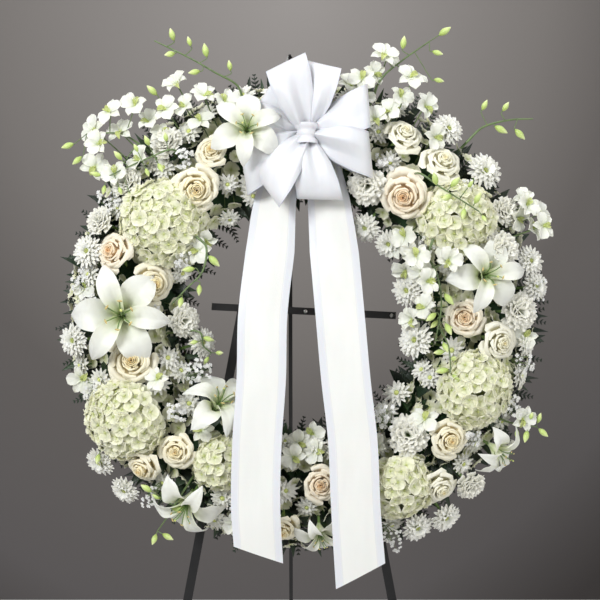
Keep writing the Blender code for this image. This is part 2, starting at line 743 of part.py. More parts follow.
def build_sprays(rng):
    sprays, holes = {}, []
    for name, high, path, flowers, buds in SPRAYS:
        line = []
        for i, (u, v) in enumerate(path):
            line.append((u / 1000, v / 1000, high / 1000 + 0.006 * math.sin(i)))
        stem = curve(line, 2)
        meshes = [wire(stem, np.linspace(SPRAY_R, SPRAY_TIP_R, len(stem)))]
        for kind, spots in (("flower", flowers), ("bud", buds)):
            for u, v in spots:
                c = np.array((u / 1000, v / 1000, high / 1000 + (0.012 if kind == "flower" else 0.006)))
                near = stem[np.argmin(np.linalg.norm(stem - c, axis=1))]
                foot, way = near + (near - c) * 0.02, unit(c - near)
                if kind == "flower":
                    meshes.append(rod(foot, c - (0, 0, 0.0004), 0.0009, 3))
                    axes = frame_about((c[0] * 0.8, c[1] * 0.8, 0.35), rng.uniform(0, 6))
                    meshes += [placed(m, axes, c) for m in flower_orchid(0.021, rng)]
                else:
                    meshes.append(wire([foot, *(c + way * at for at in BUD_AT)], BUD_R))
        knee = np.array((*stem[0][:2], SPRAY_KNEE))
        root = stem_root(knee)
        meshes.append(rod(stem[0] + (0, 0, 0.0010), knee - (0, 0, 0.0012), STEM_R, 4))
        meshes.append(rod(knee, root, STEM_R, 4))
        holes.append(stem_hole(knee, root))
        sprays[name] = meshes
    return sprays, holes


def build_leaves(made):
    """Leafy branches round the outer and the inner side of the foam."""
    rng = random.Random(23)
    holes = []
    for side, count in (("outer", 4), ("inner", 4)):
        for k in range(count):
            step = 360.0 / count
            first, last = k * step + 46.0, (k + 1) * step + 46.0
            holes += leafy_branch(made, f"foliage_{side}_{k + 1}", side, first, last, rng)
    return holes


def leafy_branch(made, name, side, first, last, rng):
    sign = 1 if side == "outer" else -1
    radius = 0.3095 if side == "outer" else 0.1805
    pad = 1.2 if side == "outer" else 2.0
    turns = np.radians(np.linspace(first + pad, last - pad, 9 if side == "outer" else 6))
    arc = [(radius * math.cos(a), radius * math.sin(a), 0.0165) for a in turns]
    meshes, holes = [wire(arc, BRANCH_R)], []
    for a in (turns[len(turns) // 2],):
        way = np.array((math.cos(a + 0.03), math.sin(a + 0.03), 0.0))
        up = np.array((0, 0, 0.0165))
        inner = radius - sign * 0.026
        meshes.append(rod(way * radius + up, way * inner + up, 0.0016, 4))
        holes.append(rod(way * radius + up, way * (inner - sign * 0.001) + up, 0.0016 + HOLE_GAP * 1.5, 4))
    spots = np.linspace(first + pad, last - pad, 11 if side == "outer" else 6)
    for k, spot in enumerate(spots):
        edge = min(spot - first, last - spot)
        at = math.radians(spot)
        if side == "outer":
            long = (0.046, 0.060, 0.052)[k % 3] * rng.uniform(0.92, 1.06)
            wide = (0.017, 0.012, 0.015)[k % 3]
            room = math.radians(max(edge, 0.4)) * (radius + long * 0.4)
        else:
            long = (0.030, 0.050, 0.038)[k % 3] * rng.uniform(0.9, 1.05)
            wide = (0.015, 0.010, 0.013)[k % 3]
            room = math.radians(max(edge, 0.6)) * (radius - long * 0.6)
        toward = 0.0 if edge < 5 else rng.uniform(-0.2, 0.2)
        half = min(wide, room * 0.8) if edge < 5 else wide
        meshes.append(leaf(at, radius, sign, long, half, toward, 0.010 + 0.0095 * (k % 2), rng))
    combine(name, meshes, "leaf", made)
    return holes


def leaf(at, radius, sign, long, half, toward, tip, rng):
    """A pointed blade from the branch outwards, folded along its middle."""
    out = np.array((math.cos(at), math.sin(at), 0.0)) * sign
    way = np.array((math.cos(at + toward), math.sin(at + toward), 0.0)) * sign
    side = np.cross((0, 0, 1.0), way)
    base = out * sign * radius - out * 0.0006 + np.array((0, 0, 0.0165))
    grid = []
    for share, wide in ((0.0, 0.12), (0.45, 1.0), (1.0, 0.06)):
        mid = base + way * long * share
        mid[2] += (tip - 0.0165) * share
        lift = 0.16 * half * wide
        grid.append([mid - side * half * wide + (0, 0, lift), mid, mid + side * half * wide + (0, 0, lift)])
    return blade(np.array(grid), LEAF * 2, sharp=True)


LOOPS = [  # direction in degrees, length, width, height of the layer (mm)
    (92, 112, 60, 112), (24, 96, 58, 98), (-24, 98, 62, 106), (-86, 98, 56, 116),
    (-128, 100, 54, 108), (-158, 96, 50, 98), (136, 84, 50, 92),
]
KNOT = (0.006, 0.258)
KNOT_AXIS = (0.1, 1.0, 0.0)
KNOT_PROFILE = [(0.0, -0.022), (0.0142, -0.022), (0.019, -0.011),
                (0.019, 0.011), (0.0142, 0.022), (0.0, 0.022)]
PICK = [(*KNOT, 0.108), (*KNOT, 0.030)]


def bow_meshes():
    meshes = []
    for turn, long, wide, high in LOOPS:
        meshes.append(bow_loop(math.radians(turn), long / 1000, wide / 1000, high / 1000))
    knot = np.array((*KNOT, 0.112))
    meshes.append(placed(turned(KNOT_PROFILE, KNOT_STEPS, False), frame_about(KNOT_AXIS), knot))
    meshes.append(rod(*PICK, STEM_R, 4))
    return meshes


def bow_loop(turn, long, wide, high):
    """A ribbon that leaves the knot, rolls over at its far end and comes back."""
    way = np.array((math.cos(turn), math.sin(turn), 0.0))
    side = np.array((-way[1], way[0], 0.0))
    steps = [(0.05, 0.003, 0.34), (0.50, 0.020, 0.92), (0.92, 0.012, 1.0), (0.94, -0.008, 1.0),
             (0.50, -0.012, 0.80), (0.06, -0.005, 0.34)]
    grid = []
    for along, up, share in steps:
        mid = np.array((*KNOT, high)) + way * long * along + np.array((0, 0, up))
        grid.append([mid + side * wide / 2 * share * s for s in (-1, 1)])
    return blade(np.array(grid), PETAL)


TAILS = {  # the middle line of each tail (mm) and its hand
    "tail_left": ([(-13.75, 259, 76), (-22, 226, 76), (-38, 170, 82), (-46, 90, 104), (-56, 0, 118),
                   (-58, -90, 123), (-64, -180, 126), (-66, -270, 126), (-62, -352, 123)], -1),
    "tail_right": ([(25.75, 259, 76), (30, 226, 76), (38, 170, 82), (46, 90, 104), (54, 0, 118),
                    (62, -90, 123), (72, -180, 126), (76, -270, 126), (83, -352, 123)], 1),
}
TAIL_GATHER = (0.50, 0.62, 0.86)


def build_bow(made):
    combine("bow", bow_meshes(), "satin", made)
    for name, (path, hand) in TAILS.items():
        line = curve(np.array(path) / 1000, 1)
        grid = []
        for i, mid in enumerate(line):
            share = TAIL_GATHER[i] if i < len(TAIL_GATHER) else 1.0
            wave = 0.0022 * math.sin(i * 1.3 + hand)
            row = []
            for s in (-1.0, 0.0, 1.0):
                point = mid + np.array((s * RIBBON / 2 * share, 0.0, wave * s + 0.003 * (1 - s * s)))
                if i == len(line) - 1:
                    point[1] -= 0.018 * (1 - hand * s) if hand > 0 else -0.012 * (1 - s)
                row.append(point)
            grid.append(row)
        combine(name, [blade(np.array(grid), PETAL)], "satin", made)


def wire_path():
    top = 0.380
    arc = [(0.0032 * math.cos(a), top + 0.0032 * math.sin(a)) for a in np.radians((180, 135, 90, 45, 0))]
    flat = [(-0.034, 0.282)] + arc + [(0.034, 0.282)]
    mids = [(EASEL_U + u, v, -0.0020) for u, v in flat]
    return [(EASEL_U - 0.034, 0.282, 0.012)] + mids + [(EASEL_U + 0.034, 0.282, 0.012)]


def build_ring(made, holes):
    path = wire_path()
    wide = WIRE_R * 1.2 + HOLE_GAP
    ends = [rod((u, v, -0.004), (u, v, 0.014), wide, 4) for u, v, _ in (path[0], path[-1])]
    combine("foam_ring", [turned(SECTION, RING_STEPS)], "foam", made, holes + ends)
    a, b, f, h, t = TRAY_IN, TRAY_OUT, TRAY_FLOOR, TRAY_LIP, TRAY_WALL
    section = [(a, 0), (b, 0), (b, h), (b - t, h), (b - t, f), (a, f)]
    combine("plastic_tray", [turned(section, RING_STEPS)], "tray", made, ends)
    combine("hanging_wire", [wire(path, WIRE_R, 6)], "wire", made)


def leg_at(v, side):
    return np.array((EASEL_U + side * LEG_SLOPE * (APEX_V - v), v))


def build_easel(made):
    back = LEG_FRONT - LEG_T
    rivet_v = 0.328
    for side, word in ((-1, "left"), (1, "right")):
        top, foot = leg_at(LEG_TOP, side), leg_at(LEG_FOOT, side)
        along = unit(foot - top)
        across = np.array((-along[1], along[0]))
        cross_v = 0.010 if side < 0 else 0.003
        drills = []
        for v in (rivet_v, cross_v):
            u = leg_at(v, side)[0]
            drills.append(rod((u, v, back - 0.01), (u, v, 0.002), 0.0024, 8))
        leg = bar(top, foot, LEG_W, LEG_FRONT, back, across)
        combine(f"front_leg_{word}", [leg], "easel_black", made, drills)
        ground = world([(*foot, (LEG_FRONT + back) / 2)])[0]
        socket = bar(foot - along * 0.05, foot + along * 0.0006, LEG_W + 0.0007, LEG_FRONT + 0.00035,
                     back - 0.00035, across)
        cup = rod((ground[0], ground[1], 0.0), (ground[0], ground[1], FOOT_HIGH), FOOT_R, 10)
        combine(f"foot_{word}", [cup], "rubber", made, [(world(socket[0]), socket[1])], False)
    build_crossbar(made, back)
    build_bracket(made, back, rivet_v)
    build_rear_leg(made)


def build_crossbar(made, back):
    left, right = leg_at(0.010, -1), leg_at(0.003, 1)
    along = unit(right - left)
    across = np.array((-along[1], along[0]))
    bar_mesh = bar(left - along * 0.045, right + along * 0.085, 0.0105, -0.0004, -0.0042, across)
    meshes = [bar_mesh]
    for u, v in (left, right):
        meshes.append(rod((u, v, back - 0.002), (u, v, -0.001), RIVET_R, 6))
        meshes.append(rod((u, v, back - 0.0020), (u, v, back - 0.0004), 0.0024, 6, 0.0036))
    combine("crossbar", meshes, "easel_black", made)


def build_bracket(made, back, rivet_v):
    face = back - 0.0003
    u = EASEL_U
    meshes = [box((u - 0.021, 0.316, face - 0.003), (u + 0.021, 0.366, face))]
    for side in (-1, 1):
        inner, outer = 0.0036 * side, 0.0068 * side
        low, high = min(inner, outer), max(inner, outer)
        meshes.append(box((u + low, 0.332, -0.031), (u + high, 0.359, face - 0.001)))
        v = rivet_v
        ru = leg_at(v, side)[0]
        meshes.append(rod((ru, v, face - 0.001), (ru, v, LEG_FRONT + 0.001), RIVET_R, 6))
        meshes.append(rod((ru, v, LEG_FRONT + 0.0004), (ru, v, LEG_FRONT + 0.0016), 0.0034, 6, 0.0026))
    meshes.append(rod((u - 0.0090, HINGE_V, HINGE_W), (u + 0.0090, HINGE_V, HINGE_W), 0.0025, 8))
    hook = [(u, 0.358, -0.0115), (u, 0.374, -0.0115), (u, 0.3795, -0.0085), (u, 0.380, -0.004),
            (u, 0.380, 0.0), (u, 0.3845, 0.0022)]
    meshes.append(wire(hook, 0.0020, 6))
    combine("apex_bracket", meshes, "easel_black", made)


def build_rear_leg(made):
    """The rear leg in world space, hung from the hinge pin and open to its stop."""
    hinge = world([(EASEL_U, HINGE_V, HINGE_W)])[0]
    down = np.array((0.0, math.sin(REAR_LEAN), -math.cos(REAR_LEAN)))
    front = np.array((0.0, -math.cos(REAR_LEAN), -math.sin(REAR_LEAN)))
    thick, wide = 0.006, 0.013
    axes = np.array((ACROSS, front, down))

    def beam(a, b, spare):
        return block(hinge + down * (a + b) / 2, axes, (thick + spare, wide + spare, b - a))

    drill = rod(hinge - (0.01, 0, 0), hinge + (0.01, 0, 0), 0.0030, 10)
    combine("rear_leg", [beam(-0.0064, REAR_LENGTH, 0.0)], "easel_black", made, [drill], False)
    foot = hinge + down * REAR_LENGTH
    cup = rod((foot[0], foot[1], 0.0), (foot[0], foot[1], FOOT_HIGH), FOOT_R, 10)
    socket = beam(REAR_LENGTH - 0.05, REAR_LENGTH + 0.0006, 0.0007)
    combine("foot_rear", [cup], "rubber", made, [socket], False)


def seat_at_origin(made):
    """Stands the whole on the origin, at the middle of its footprint, with each body's own empty above it."""
    low, high = np.full(3, 9.0), np.full(3, -9.0)
    for ob in made.objects:
        p = np.array([v.co for v in ob.data.vertices])
        low, high = np.minimum(low, p.min(0)), np.maximum(high, p.max(0))
    shift = np.array((-(low[0] + high[0]) / 2, -(low[1] + high[1]) / 2, -low[2]))
    hinge = world([(EASEL_U, HINGE_V, HINGE_W)])[0] + shift
    pieces = list(made.objects)
    front, pivot = empty("front_frame", (0.0, 0.0, 0.0), made), empty("rear_leg_pivot", hinge, made)
    for ob in pieces:
        origin = hinge if ob.name in ("rear_leg", "foot_rear") else np.zeros(3)
        ob.data.transform(Matrix.Translation(shift - origin))
        ob.parent = pivot if origin.any() else front
        ob.data.shade_smooth()
        ob.data.set_sharp_from_angle(angle=SMOOTH_UNDER)
    print("shift", np.round(shift * 1000, 2), "size", np.round((high - low) * 1000, 1))


def empty(name, place, where):
    made = bpy.data.objects.new(name, None)
    made.location = place
    where.objects.link(made)
    return made


main()
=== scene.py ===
"""The looks of the standing funeral wreath: its flowers, foliage, satin bow and easel."""
import math
import random

import bpy
import numpy as np
from mathutils import Matrix

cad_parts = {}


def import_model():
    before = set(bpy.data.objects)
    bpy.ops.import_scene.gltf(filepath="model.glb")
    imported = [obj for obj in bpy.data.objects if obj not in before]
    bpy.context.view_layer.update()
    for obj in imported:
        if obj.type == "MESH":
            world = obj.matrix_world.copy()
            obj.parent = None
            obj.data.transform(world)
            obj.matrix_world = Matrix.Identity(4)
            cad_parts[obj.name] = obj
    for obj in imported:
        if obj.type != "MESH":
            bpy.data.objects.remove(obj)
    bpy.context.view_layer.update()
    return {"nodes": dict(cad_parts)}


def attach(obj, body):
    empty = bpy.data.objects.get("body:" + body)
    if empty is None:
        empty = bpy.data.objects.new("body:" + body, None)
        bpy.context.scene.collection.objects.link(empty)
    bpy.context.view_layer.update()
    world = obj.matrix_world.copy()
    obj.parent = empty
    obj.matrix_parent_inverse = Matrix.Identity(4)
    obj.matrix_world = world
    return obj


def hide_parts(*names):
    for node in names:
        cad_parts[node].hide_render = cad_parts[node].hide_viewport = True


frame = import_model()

# The wreath's own space is (across, up the lean, out of the front), with its zero at the ring's centre
LEAN = math.radians(12.0)
RING_CENTRE = np.array((0.00012, -0.109, 0.945))
ACROSS = np.array((1.0, 0.0, 0.0))
UP = np.array((0.0, math.sin(LEAN), math.cos(LEAN)))
OUT = np.array((0.0, -math.cos(LEAN), math.sin(LEAN)))
SPACE = np.array((ACROSS, UP, OUT))
RING_MID, RING_HALF = 0.245, 0.11
FOAM_CORE = 0.020
FOAM_IN, FOAM_OUT, FOAM_FRONT = 0.1895, 0.3005, 0.048
RIBBON = 0.070
BODY = "wreath_and_front_frame"
SHEET = 0.0005
Z = (0.0, 0.0, 1.0)

# Heights of the flowers and of the layer between them: at the ring's middle, and how much lower at its edges
BLOOM_TOP, BLOOM_FALL = 0.092, 0.037
LAYER_TOP, LAYER_FALL = 0.078, 0.040
# Petals reach this much further than their solid, and a stem's foot is this far from the foam's middle line
PETAL_REACH = 1.13
STEM_FOOT = 0.012
ORCHID_R = 0.0215
# A hydrangea's floret radius, and how many florets a head of that radius has
FLORET_R, FLORETS, FLORETS_HEAD = 0.0112, 94, 0.06
FILLER_LEAVES = 420
LEAFLET_GAP = 0.0059

GOLDEN = math.pi * (3.0 - math.sqrt(5.0))

# Flowers by node and kind, each one: across, up, width (mm on the leaning plane), lift
FLOWERS = [
    ("roses_upper_left", "rose", [(-128, 235, 46, 4), (-152, 181, 67, 4)]),
    ("roses_left", "rose", [(-268, 90, 58, 4), (-216, 45, 61, 0)]),
    ("rose_mid_left", "rose", [(-244, -65, 72, 4)]),
    ("roses_lower_left", "rose", [(-228, -217, 52, 0), (-180, -194, 50, 0)]),
    ("roses_upper_right", "rose", [(148, 171, 70, 4), (200, 218, 58, 0), (146, 258, 52, 0)]),
    ("roses_right", "rose", [(233, -3, 54, 0), (281, -38, 58, 0)]),
    ("roses_lower_right", "rose", [(210, -177, 55, 2), (197, -246, 55, 0)]),
    ("roses_bottom_right", "rose", [(28, -242, 54, -4), (82, -232, 54, -8)]),
    ("roses_bottom_left", "rose", [(-29, -304, 52, 0), (-62, -246, 56, -8)]),
    ("hydrangea_upper_left", "hydrangea", [(-200, 133, 112, -8)]),
    ("hydrangea_left", "hydrangea", [(-255, -150, 108, -6)]),
    ("hydrangea_bottom_left", "hydrangea", [(-115, -213, 70, -8)]),
    ("hydrangea_upper_right", "hydrangea", [(222, 137, 100, -6)]),
    ("hydrangea_right", "hydrangea", [(248, -106, 98, -6)]),
    ("hydrangea_bottom_right", "hydrangea", [(139, -246, 88, -8)]),
    ("lily_left", "lily", [(-258, 0, 150, 26)]),
    ("lily_top", "lily", [(-78, 266, 112, 44)]),
    ("lily_right", "lily", [(264, 58, 120, 22)]),
    ("lily_inner_left", "lily", [(-118, -124, 112, 22)]),
    ("lily_lower_left", "lily", [(-168, -276, 112, 14)]),
    ("lily_bottom", "lily", [(26, -318, 84, 2)]),
    ("lily_lower_right", "lily", [(286, -198, 88, 10)]),
    ("bunch_left", "carnation", [(-291, 136, 44, 2)]),
    ("bunch_left", "mum", [(-308, 92, 44, 0), (-328, -36, 44, 2)]),
    ("bunch_inner_left", "carnation", [(-171, -8, 50, 2)]),
    ("bunch_inner_left", "mum", [(-146, -40, 42, 2)]),
    ("carnation_lower_right", "carnation", [(152, -172, 62, 0)]),
    ("bunch_right", "carnation", [(312, 6, 58, 2)]),
    ("bunch_right", "mum", [(336, 42, 40, 0), (328, 78, 42, 0)]),
    ("bunch_right", "carnation", [(284, 92, 62, 6), (292, 150, 46, 2)]),
    ("bunch_upper_right", "carnation", [(94, 186, 58, 0)]),
    ("bunch_upper_right", "mum", [(92, 128, 42, 2), (126, 104, 40, 2)]),
    ("mums_inner_right", "mum", [(153, 36, 44, 2), (165, -36, 50, 2)]),
    ("mums_top_right", "mum", [(210, 268, 44, 2), (262, 207, 50, 2)]),
    ("bunch_lower_right", "carnation", [(244, -246, 46, 0)]),
    ("bunch_lower_right", "mum", [(207, -292, 44, 0), (166, -306, 42, 0)]),
    ("mums_lower_left", "mum", [(-256, -252, 42, 2), (-292, -212, 42, 2)]),
    ("bunch_top_left", "carnation", [(-196, 248, 52, 0), (-252, 190, 50, 0)]),
]

# Each orchid spray: node, height of its stem, the stem's path, its open flowers, its buds (mm)
SPRAYS = [
    ("orchids_top_left", 64, [(-84, 292), (-92, 330), (-126, 351), (-162, 372), (-214, 398)],
     [], [(-187, 402), (-162, 392), (-139, 379), (-188, 378), (-152, 352), (-104, 357)]),
    ("orchids_left", 66, [(-196, 214), (-226, 240), (-262, 262), (-312, 262)],
     [(-196, 296), (-240, 302), (-276, 292), (-292, 246), (-268, 204)],
     [(-335, 246), (-322, 226), (-214, 322)]),
    ("orchids_inner_left", 112, [(-150, 112), (-136, 96), (-142, 62), (-165, 38), (-186, 16)],
     [], [(-128, 80), (-158, 66), (-146, 40), (-172, 22)]),
    ("orchids_top_right", 66, [(92, 288), (112, 338), (142, 366), (184, 396)],
     [(118, 374), (156, 342), (86, 340)], [(146, 390), (203, 408), (192, 380), (194, 340)]),
    ("orchids_right", 66, [(238, 250), (262, 272), (300, 282), (334, 284)],
     [(322, 158), (346, 128)], [(262, 300), (284, 270), (292, 298), (312, 264)]),
    ("orchids_inner_right", 118, [(186, 108), (180, 84), (192, 56), (198, 14), (190, -36)],
     [(160, 84), (206, 78), (176, 48)], [(206, 26), (186, 0), (206, -16), (202, -42)]),
]
SPRAY_KNEE = 0.052
FAR_FROM_STEM = 0.060
BUD_LONG, BUD_R, BUD_ONWARD = 0.0220, 0.0049, 0.9

# Bow loops: direction in degrees, length, height (mm), roll in degrees, slant of the folded end, ridge
LOOPS = [
    (106, 107, 114, 16, -0.06, 0.25), (79, 104, 101, -14, 0.02, -0.30), (25, 99, 104, -22, 0.12, -0.20),
    (-18, 97, 108, 20, -0.14, 0.30), (-78, 95, 112, -10, 0.08, -0.25), (-126, 97, 117, 20, 0.11, 0.20),
    (-149, 104, 104, -16, 0.12, -0.30), (168, 88, 98, -14, 0.10, 0.20), (136, 84, 92, 14, -0.08, 0.30),
]
KNOT = (0.006, 0.258)
TAILS = {
    "tail_left": ([(-13.75, 259, 76), (-22, 226, 76), (-38, 170, 82), (-46, 90, 104), (-56, 0, 118),
                   (-58, -90, 123), (-64, -180, 126), (-66, -270, 126), (-62, -352, 123)], -1),
    "tail_right": ([(25.75, 259, 76), (30, 226, 76), (38, 170, 82), (46, 90, 104), (54, 0, 118),
                    (62, -90, 123), (72, -180, 126), (76, -270, 126), (83, -352, 123)], 1),
}
TAIL_GATHER = (0.50, 0.62, 0.86)
LOOP_COLUMNS = 25
LOOP_RIDGE = 0.0105
LOOP_DRAWN = 0.92
KNOT_R, KNOT_HALF = 0.0125, 0.0145


def world(points):
    """Wreath space to the row frame."""
    return RING_CENTRE + np.asarray(points, float) @ SPACE


def unit(v):
    v = np.asarray(v, float)
    return v / np.linalg.norm(v)


def polar(r, a, z=0.0):
    """The point at distance r and angle a from the ring's axis."""
    return np.array((r * math.cos(a), r * math.sin(a), z))


def ring_root(p, z):
    """The point of the foam's middle line beneath p, at height z."""
    return np.array((*(unit(p[:2]) * RING_MID), z))


def across_ring(p):
    """-1 at the inner edge of the flowers, 1 at the outer edge."""
    return (np.linalg.norm(p[:2]) - RING_MID) / RING_HALF


def jitter(rng, most):
    return np.array([rng.uniform(-most, most) for _ in range(3)])


def frame_about(axis, turn=0.0):
    """Three rows: two across the axis and the axis itself."""
    n = unit(axis)
    side = np.array((0.0, 1.0, 0.0)) if abs(n[1]) < 0.9 else np.array((1.0, 0.0, 0.0))
    a = unit(np.cross(side, n))
    b = np.cross(n, a)
    c, s = math.cos(turn), math.sin(turn)
    return np.array((a * c + b * s, b * c - a * s, n))


def curve(points, steps):
    """A smooth path through the points."""
    p = np.asarray(points, float)
    p = np.vstack((2 * p[0] - p[1], p, 2 * p[-1] - p[-2]))
    out = []
    for i in range(1, len(p) - 2):
        a, b, c, d = p[i - 1:i + 3]
        for t in np.arange(steps) / steps:
            out.append(0.5 * (2 * b + (c - a) * t + (2 * a - 5 * b + 4 * c - d) * t * t
                              + (3 * b - a - 3 * c + d) * t ** 3))
    out.append(p[-2])
    return np.array(out)


class Soup:
    """Sheets, tubes and beads of one mesh. Each point has (along, across, tint) for its material."""

    def __init__(self, *names):
        """Takes the names of its materials. The first is used where no other is named."""
        self.names, self.main = names, names[0]
        self.points, self.notes = [], []
        self.quads, self.quad_mats, self.tris, self.tri_mats = [], [], [], []
        self.count = 0
        self.home()

    def at(self, axes, origin, scale=1.0):
        """From here on, what is added is in this local space within wreath space."""
        self.axes, self.origin, self.scale = np.asarray(axes), np.asarray(origin), scale

    def home(self):
        self.at(np.eye(3), np.zeros(3))

    def push(self, grid, across, tint):
        """Adds rows of points and returns the first one's number."""
        start = self.count
        notes = np.empty(grid.shape)
        notes[..., 0] = np.linspace(0, 1, len(grid))[:, None]
        notes[..., 1] = across
        notes[..., 2] = tint
        self.points.append(grid.reshape(-1, 3) @ self.axes * self.scale + self.origin)
        self.notes.append(notes.reshape(-1, 3))
        self.count += len(self.points[-1])
        return start

    def paint(self, mats, count, mat):
        mats.append(np.full(count, self.names.index(mat or self.main)))

    def sheet(self, grid, tint, mat=None, thick=SHEET):
        """A closed thin sheet over a grid of points whose rows run from its root to its tip."""
        m, n = grid.shape[:2]
        normal = np.cross(np.gradient(grid, axis=1), np.gradient(grid, axis=0))
        normal /= np.maximum(np.linalg.norm(normal, axis=2, keepdims=True), 1e-9)
        half = normal * thick / self.scale / 2
        across = np.linspace(-1, 1, n)
        a = self.push(grid + half, across, tint)
        b = self.push(grid - half, across, tint)
        idx = np.arange(m * n).reshape(m, n)
        q = np.stack((idx[:-1, :-1], idx[:-1, 1:], idx[1:, 1:], idx[1:, :-1]), -1).reshape(-1, 4)
        rim = np.concatenate((idx[0, :], idx[1:, -1], idx[-1, -2::-1], idx[-2:0:-1, 0]))
        after = np.roll(rim, -1)
        self.quads += [q + a, q[:, ::-1] + b, np.stack((after + a, rim + a, rim + b, after + b), -1)]
        self.paint(self.quad_mats, 2 * len(q) + len(rim), mat)

    def tube(self, path, radii, sides=6, tint=0.5, mat=None):
        """A closed round bar along a path."""
        p = np.asarray(path, float)
        ahead = np.gradient(p, axis=0)
        a = frame_about(ahead[0])[0]
        turns = np.arange(sides) * math.tau / sides
        rings = []
        for point, way, r in zip(p, ahead, np.broadcast_to(radii, len(p))):
            n = unit(way)
            a = unit(a - n * np.dot(a, n))
            b = np.cross(n, a)
            rings.append(point + r * (np.cos(turns)[:, None] * a + np.sin(turns)[:, None] * b))
        start = self.push(np.array(rings), np.cos(turns), tint)
        idx = np.arange(len(p) * sides).reshape(len(p), sides) + start
        nxt = np.roll(idx, -1, axis=1)
        q = np.stack((idx[:-1], nxt[:-1], nxt[1:], idx[1:]), -1).reshape(-1, 4)
        self.quads.append(q)
        self.paint(self.quad_mats, len(q), mat)
        fan = [(idx[0, 0], idx[0, j + 1], idx[0, j]) for j in range(1, sides - 1)]
        fan += [(idx[-1, 0], idx[-1, j], idx[-1, j + 1]) for j in range(1, sides - 1)]
        self.tris.append(np.array(fan))
        self.paint(self.tri_mats, len(fan), mat)

    def bead(self, centre, axis, long, radius, rows=5, sides=6, tint=0.5, mat=None, bulge=0.5):
        """A bud, a core or a puff: rings round an axis, widest at the bulge."""
        u = np.linspace(0.04, 0.96, rows)
        path = np.asarray(centre) + (u[:, None] - 0.5) * long * unit(axis)
        wide = np.sin(np.pi * u ** (math.log(0.5) / math.log(bulge))) * radius
        self.tube(path, np.maximum(wide, radius * 0.12), sides, tint, mat)

    def make(self, name, slot, nodes=()):
        """The piece itself, which replaces the nodes."""
        points = world(np.vstack(self.points)).astype(np.float32)
        faces = [face for group in self.quads + self.tris for face in group.tolist()]
        mesh = bpy.data.meshes.new(name)
        mesh.from_pydata(points.tolist(), [], faces)
        mats = np.concatenate(self.quad_mats + self.tri_mats).astype(np.int32)
        mesh.polygons.foreach_set("material_index", mats)
        mesh.polygons.foreach_set("use_smooth", np.ones(len(faces), bool))
        note = mesh.attributes.new("petal", "FLOAT_VECTOR", "POINT")
        note.data.foreach_set("vector", np.vstack(self.notes).astype(np.float32).ravel())
        for mat in self.names:
            mesh.materials.append(MATS[mat])
        mesh.validate()
        mesh.set_sharp_from_angle(angle=math.radians(62))
        piece = bpy.data.objects.new(name, mesh)
        bpy.context.scene.collection.objects.link(piece)
        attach(piece, BODY)
        if nodes:
            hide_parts(*nodes)
        return piece


# Petals in their flower's space: z points out of the flower, 1 is its radius
def spun(out, side, high, turn):
    """Points that lie so far out, aside and up, turned round z."""
    c, s = math.cos(turn), math.sin(turn)
    return np.stack((out * c - side * s, out * s + side * c, high), -1)


def wrap_petal(soup, turn, line, half, skew, tint, rng, drop, ripple):
    """A petal on a surface of revolution: line holds (radius, height), half its half angle."""
    line = np.asarray(line, float)
    u = np.linspace(0, 1, len(line))[:, None]
    s = np.linspace(-1, 1, 7)[None, :]
    shape = np.interp(u, (0, 0.25, 0.6, 0.85, 1.0), (0.45, 0.80, 1.0, 0.92, 0.62))
    angle = turn + half * s * shape
    wave = ripple * np.sin(s * 5.0 + rng.uniform(0, 6)) * u ** 2
    radius = line[:, :1] * (1 + skew * s) + wave
    height = line[:, 1:] - drop * s ** 2 * u ** 2 + wave * 0.8
    soup.sheet(np.stack((radius * np.cos(angle), radius * np.sin(angle), height), -1), tint)


def flat_petal(soup, turn, line, wide, tint, mat=None, columns=5, cup=0.0, ruffle=0.0, rib=0.0, waves=3.0,
               phase=0.0, lean=0.0):
    """A petal laid out from its root: line holds (distance, height), wide its half widths."""
    line = np.asarray(line, float)
    u = np.linspace(0, 1, len(line))[:, None]
    s = np.linspace(-1, 1, columns)[None, :]
    cup = np.broadcast_to(cup, len(line))[:, None]
    side = s * np.asarray(wide, float)[:, None] + lean * u ** 2
    high = line[:, 1:] + cup * s ** 2 + ruffle * s ** 2 * u * np.sin(u * waves * math.pi * 2 + phase + s)
    high = high - rib * (1 - np.abs(s)) ** 4
    soup.sheet(spun(line[:, :1] + 0 * s, side, high, turn), tint, mat)


def add_rose(soup, rng):
    """A tight spiral bud, a step round it, then broad petals that roll back at their rims."""
    count = 25
    start = rng.uniform(0, 6)
    for k in range(count):
        t = (k + 0.4) / count
        turn = start + k * GOLDEN + rng.uniform(-0.15, 0.15)
        opened = 0.055 if t > 0.46 else 0.0
        top = 0.035 + 0.50 * t + 0.23 * t ** 3 + opened
        high = 0.60 - 0.12 * t - 0.44 * t ** 3 - opened + rng.uniform(-0.015, 0.015)
        root, low = 0.04 + 0.22 * t, -0.34 + 0.04 * t
        curl = 0.015 + 0.05 * t + 0.20 * t ** 2.4
        half = 1.75 - 1.00 * t ** 0.6 + 0.10 * t ** 3
        line = [(root, low), (root + (top - root) * 0.60, low + (high - low) * 0.34),
                (root + (top - root) * 0.90, low + (high - low) * 0.70), (top, high - 0.05),
                (top + curl * 0.30, high - 0.004), (top + curl * 0.72, high),
                (top + curl, high - curl * 0.38)]
        wrap_petal(soup, turn, line, half, rng.uniform(0.04, 0.10), t, rng, drop=0.05 + 0.16 * t,
                   ripple=0.006 + 0.030 * t)
    sepal = [(0.10, -0.42), (0.42, -0.40), (0.72, -0.34)]
    for k in range(5):
        flat_petal(soup, start + k * math.tau / 5, sepal, (0.08, 0.10, 0.02), 0.4, "green", 3)
    soup.bead((0, 0, -0.48), Z, 0.30, 0.16, 5, 8, 0.4, "green")


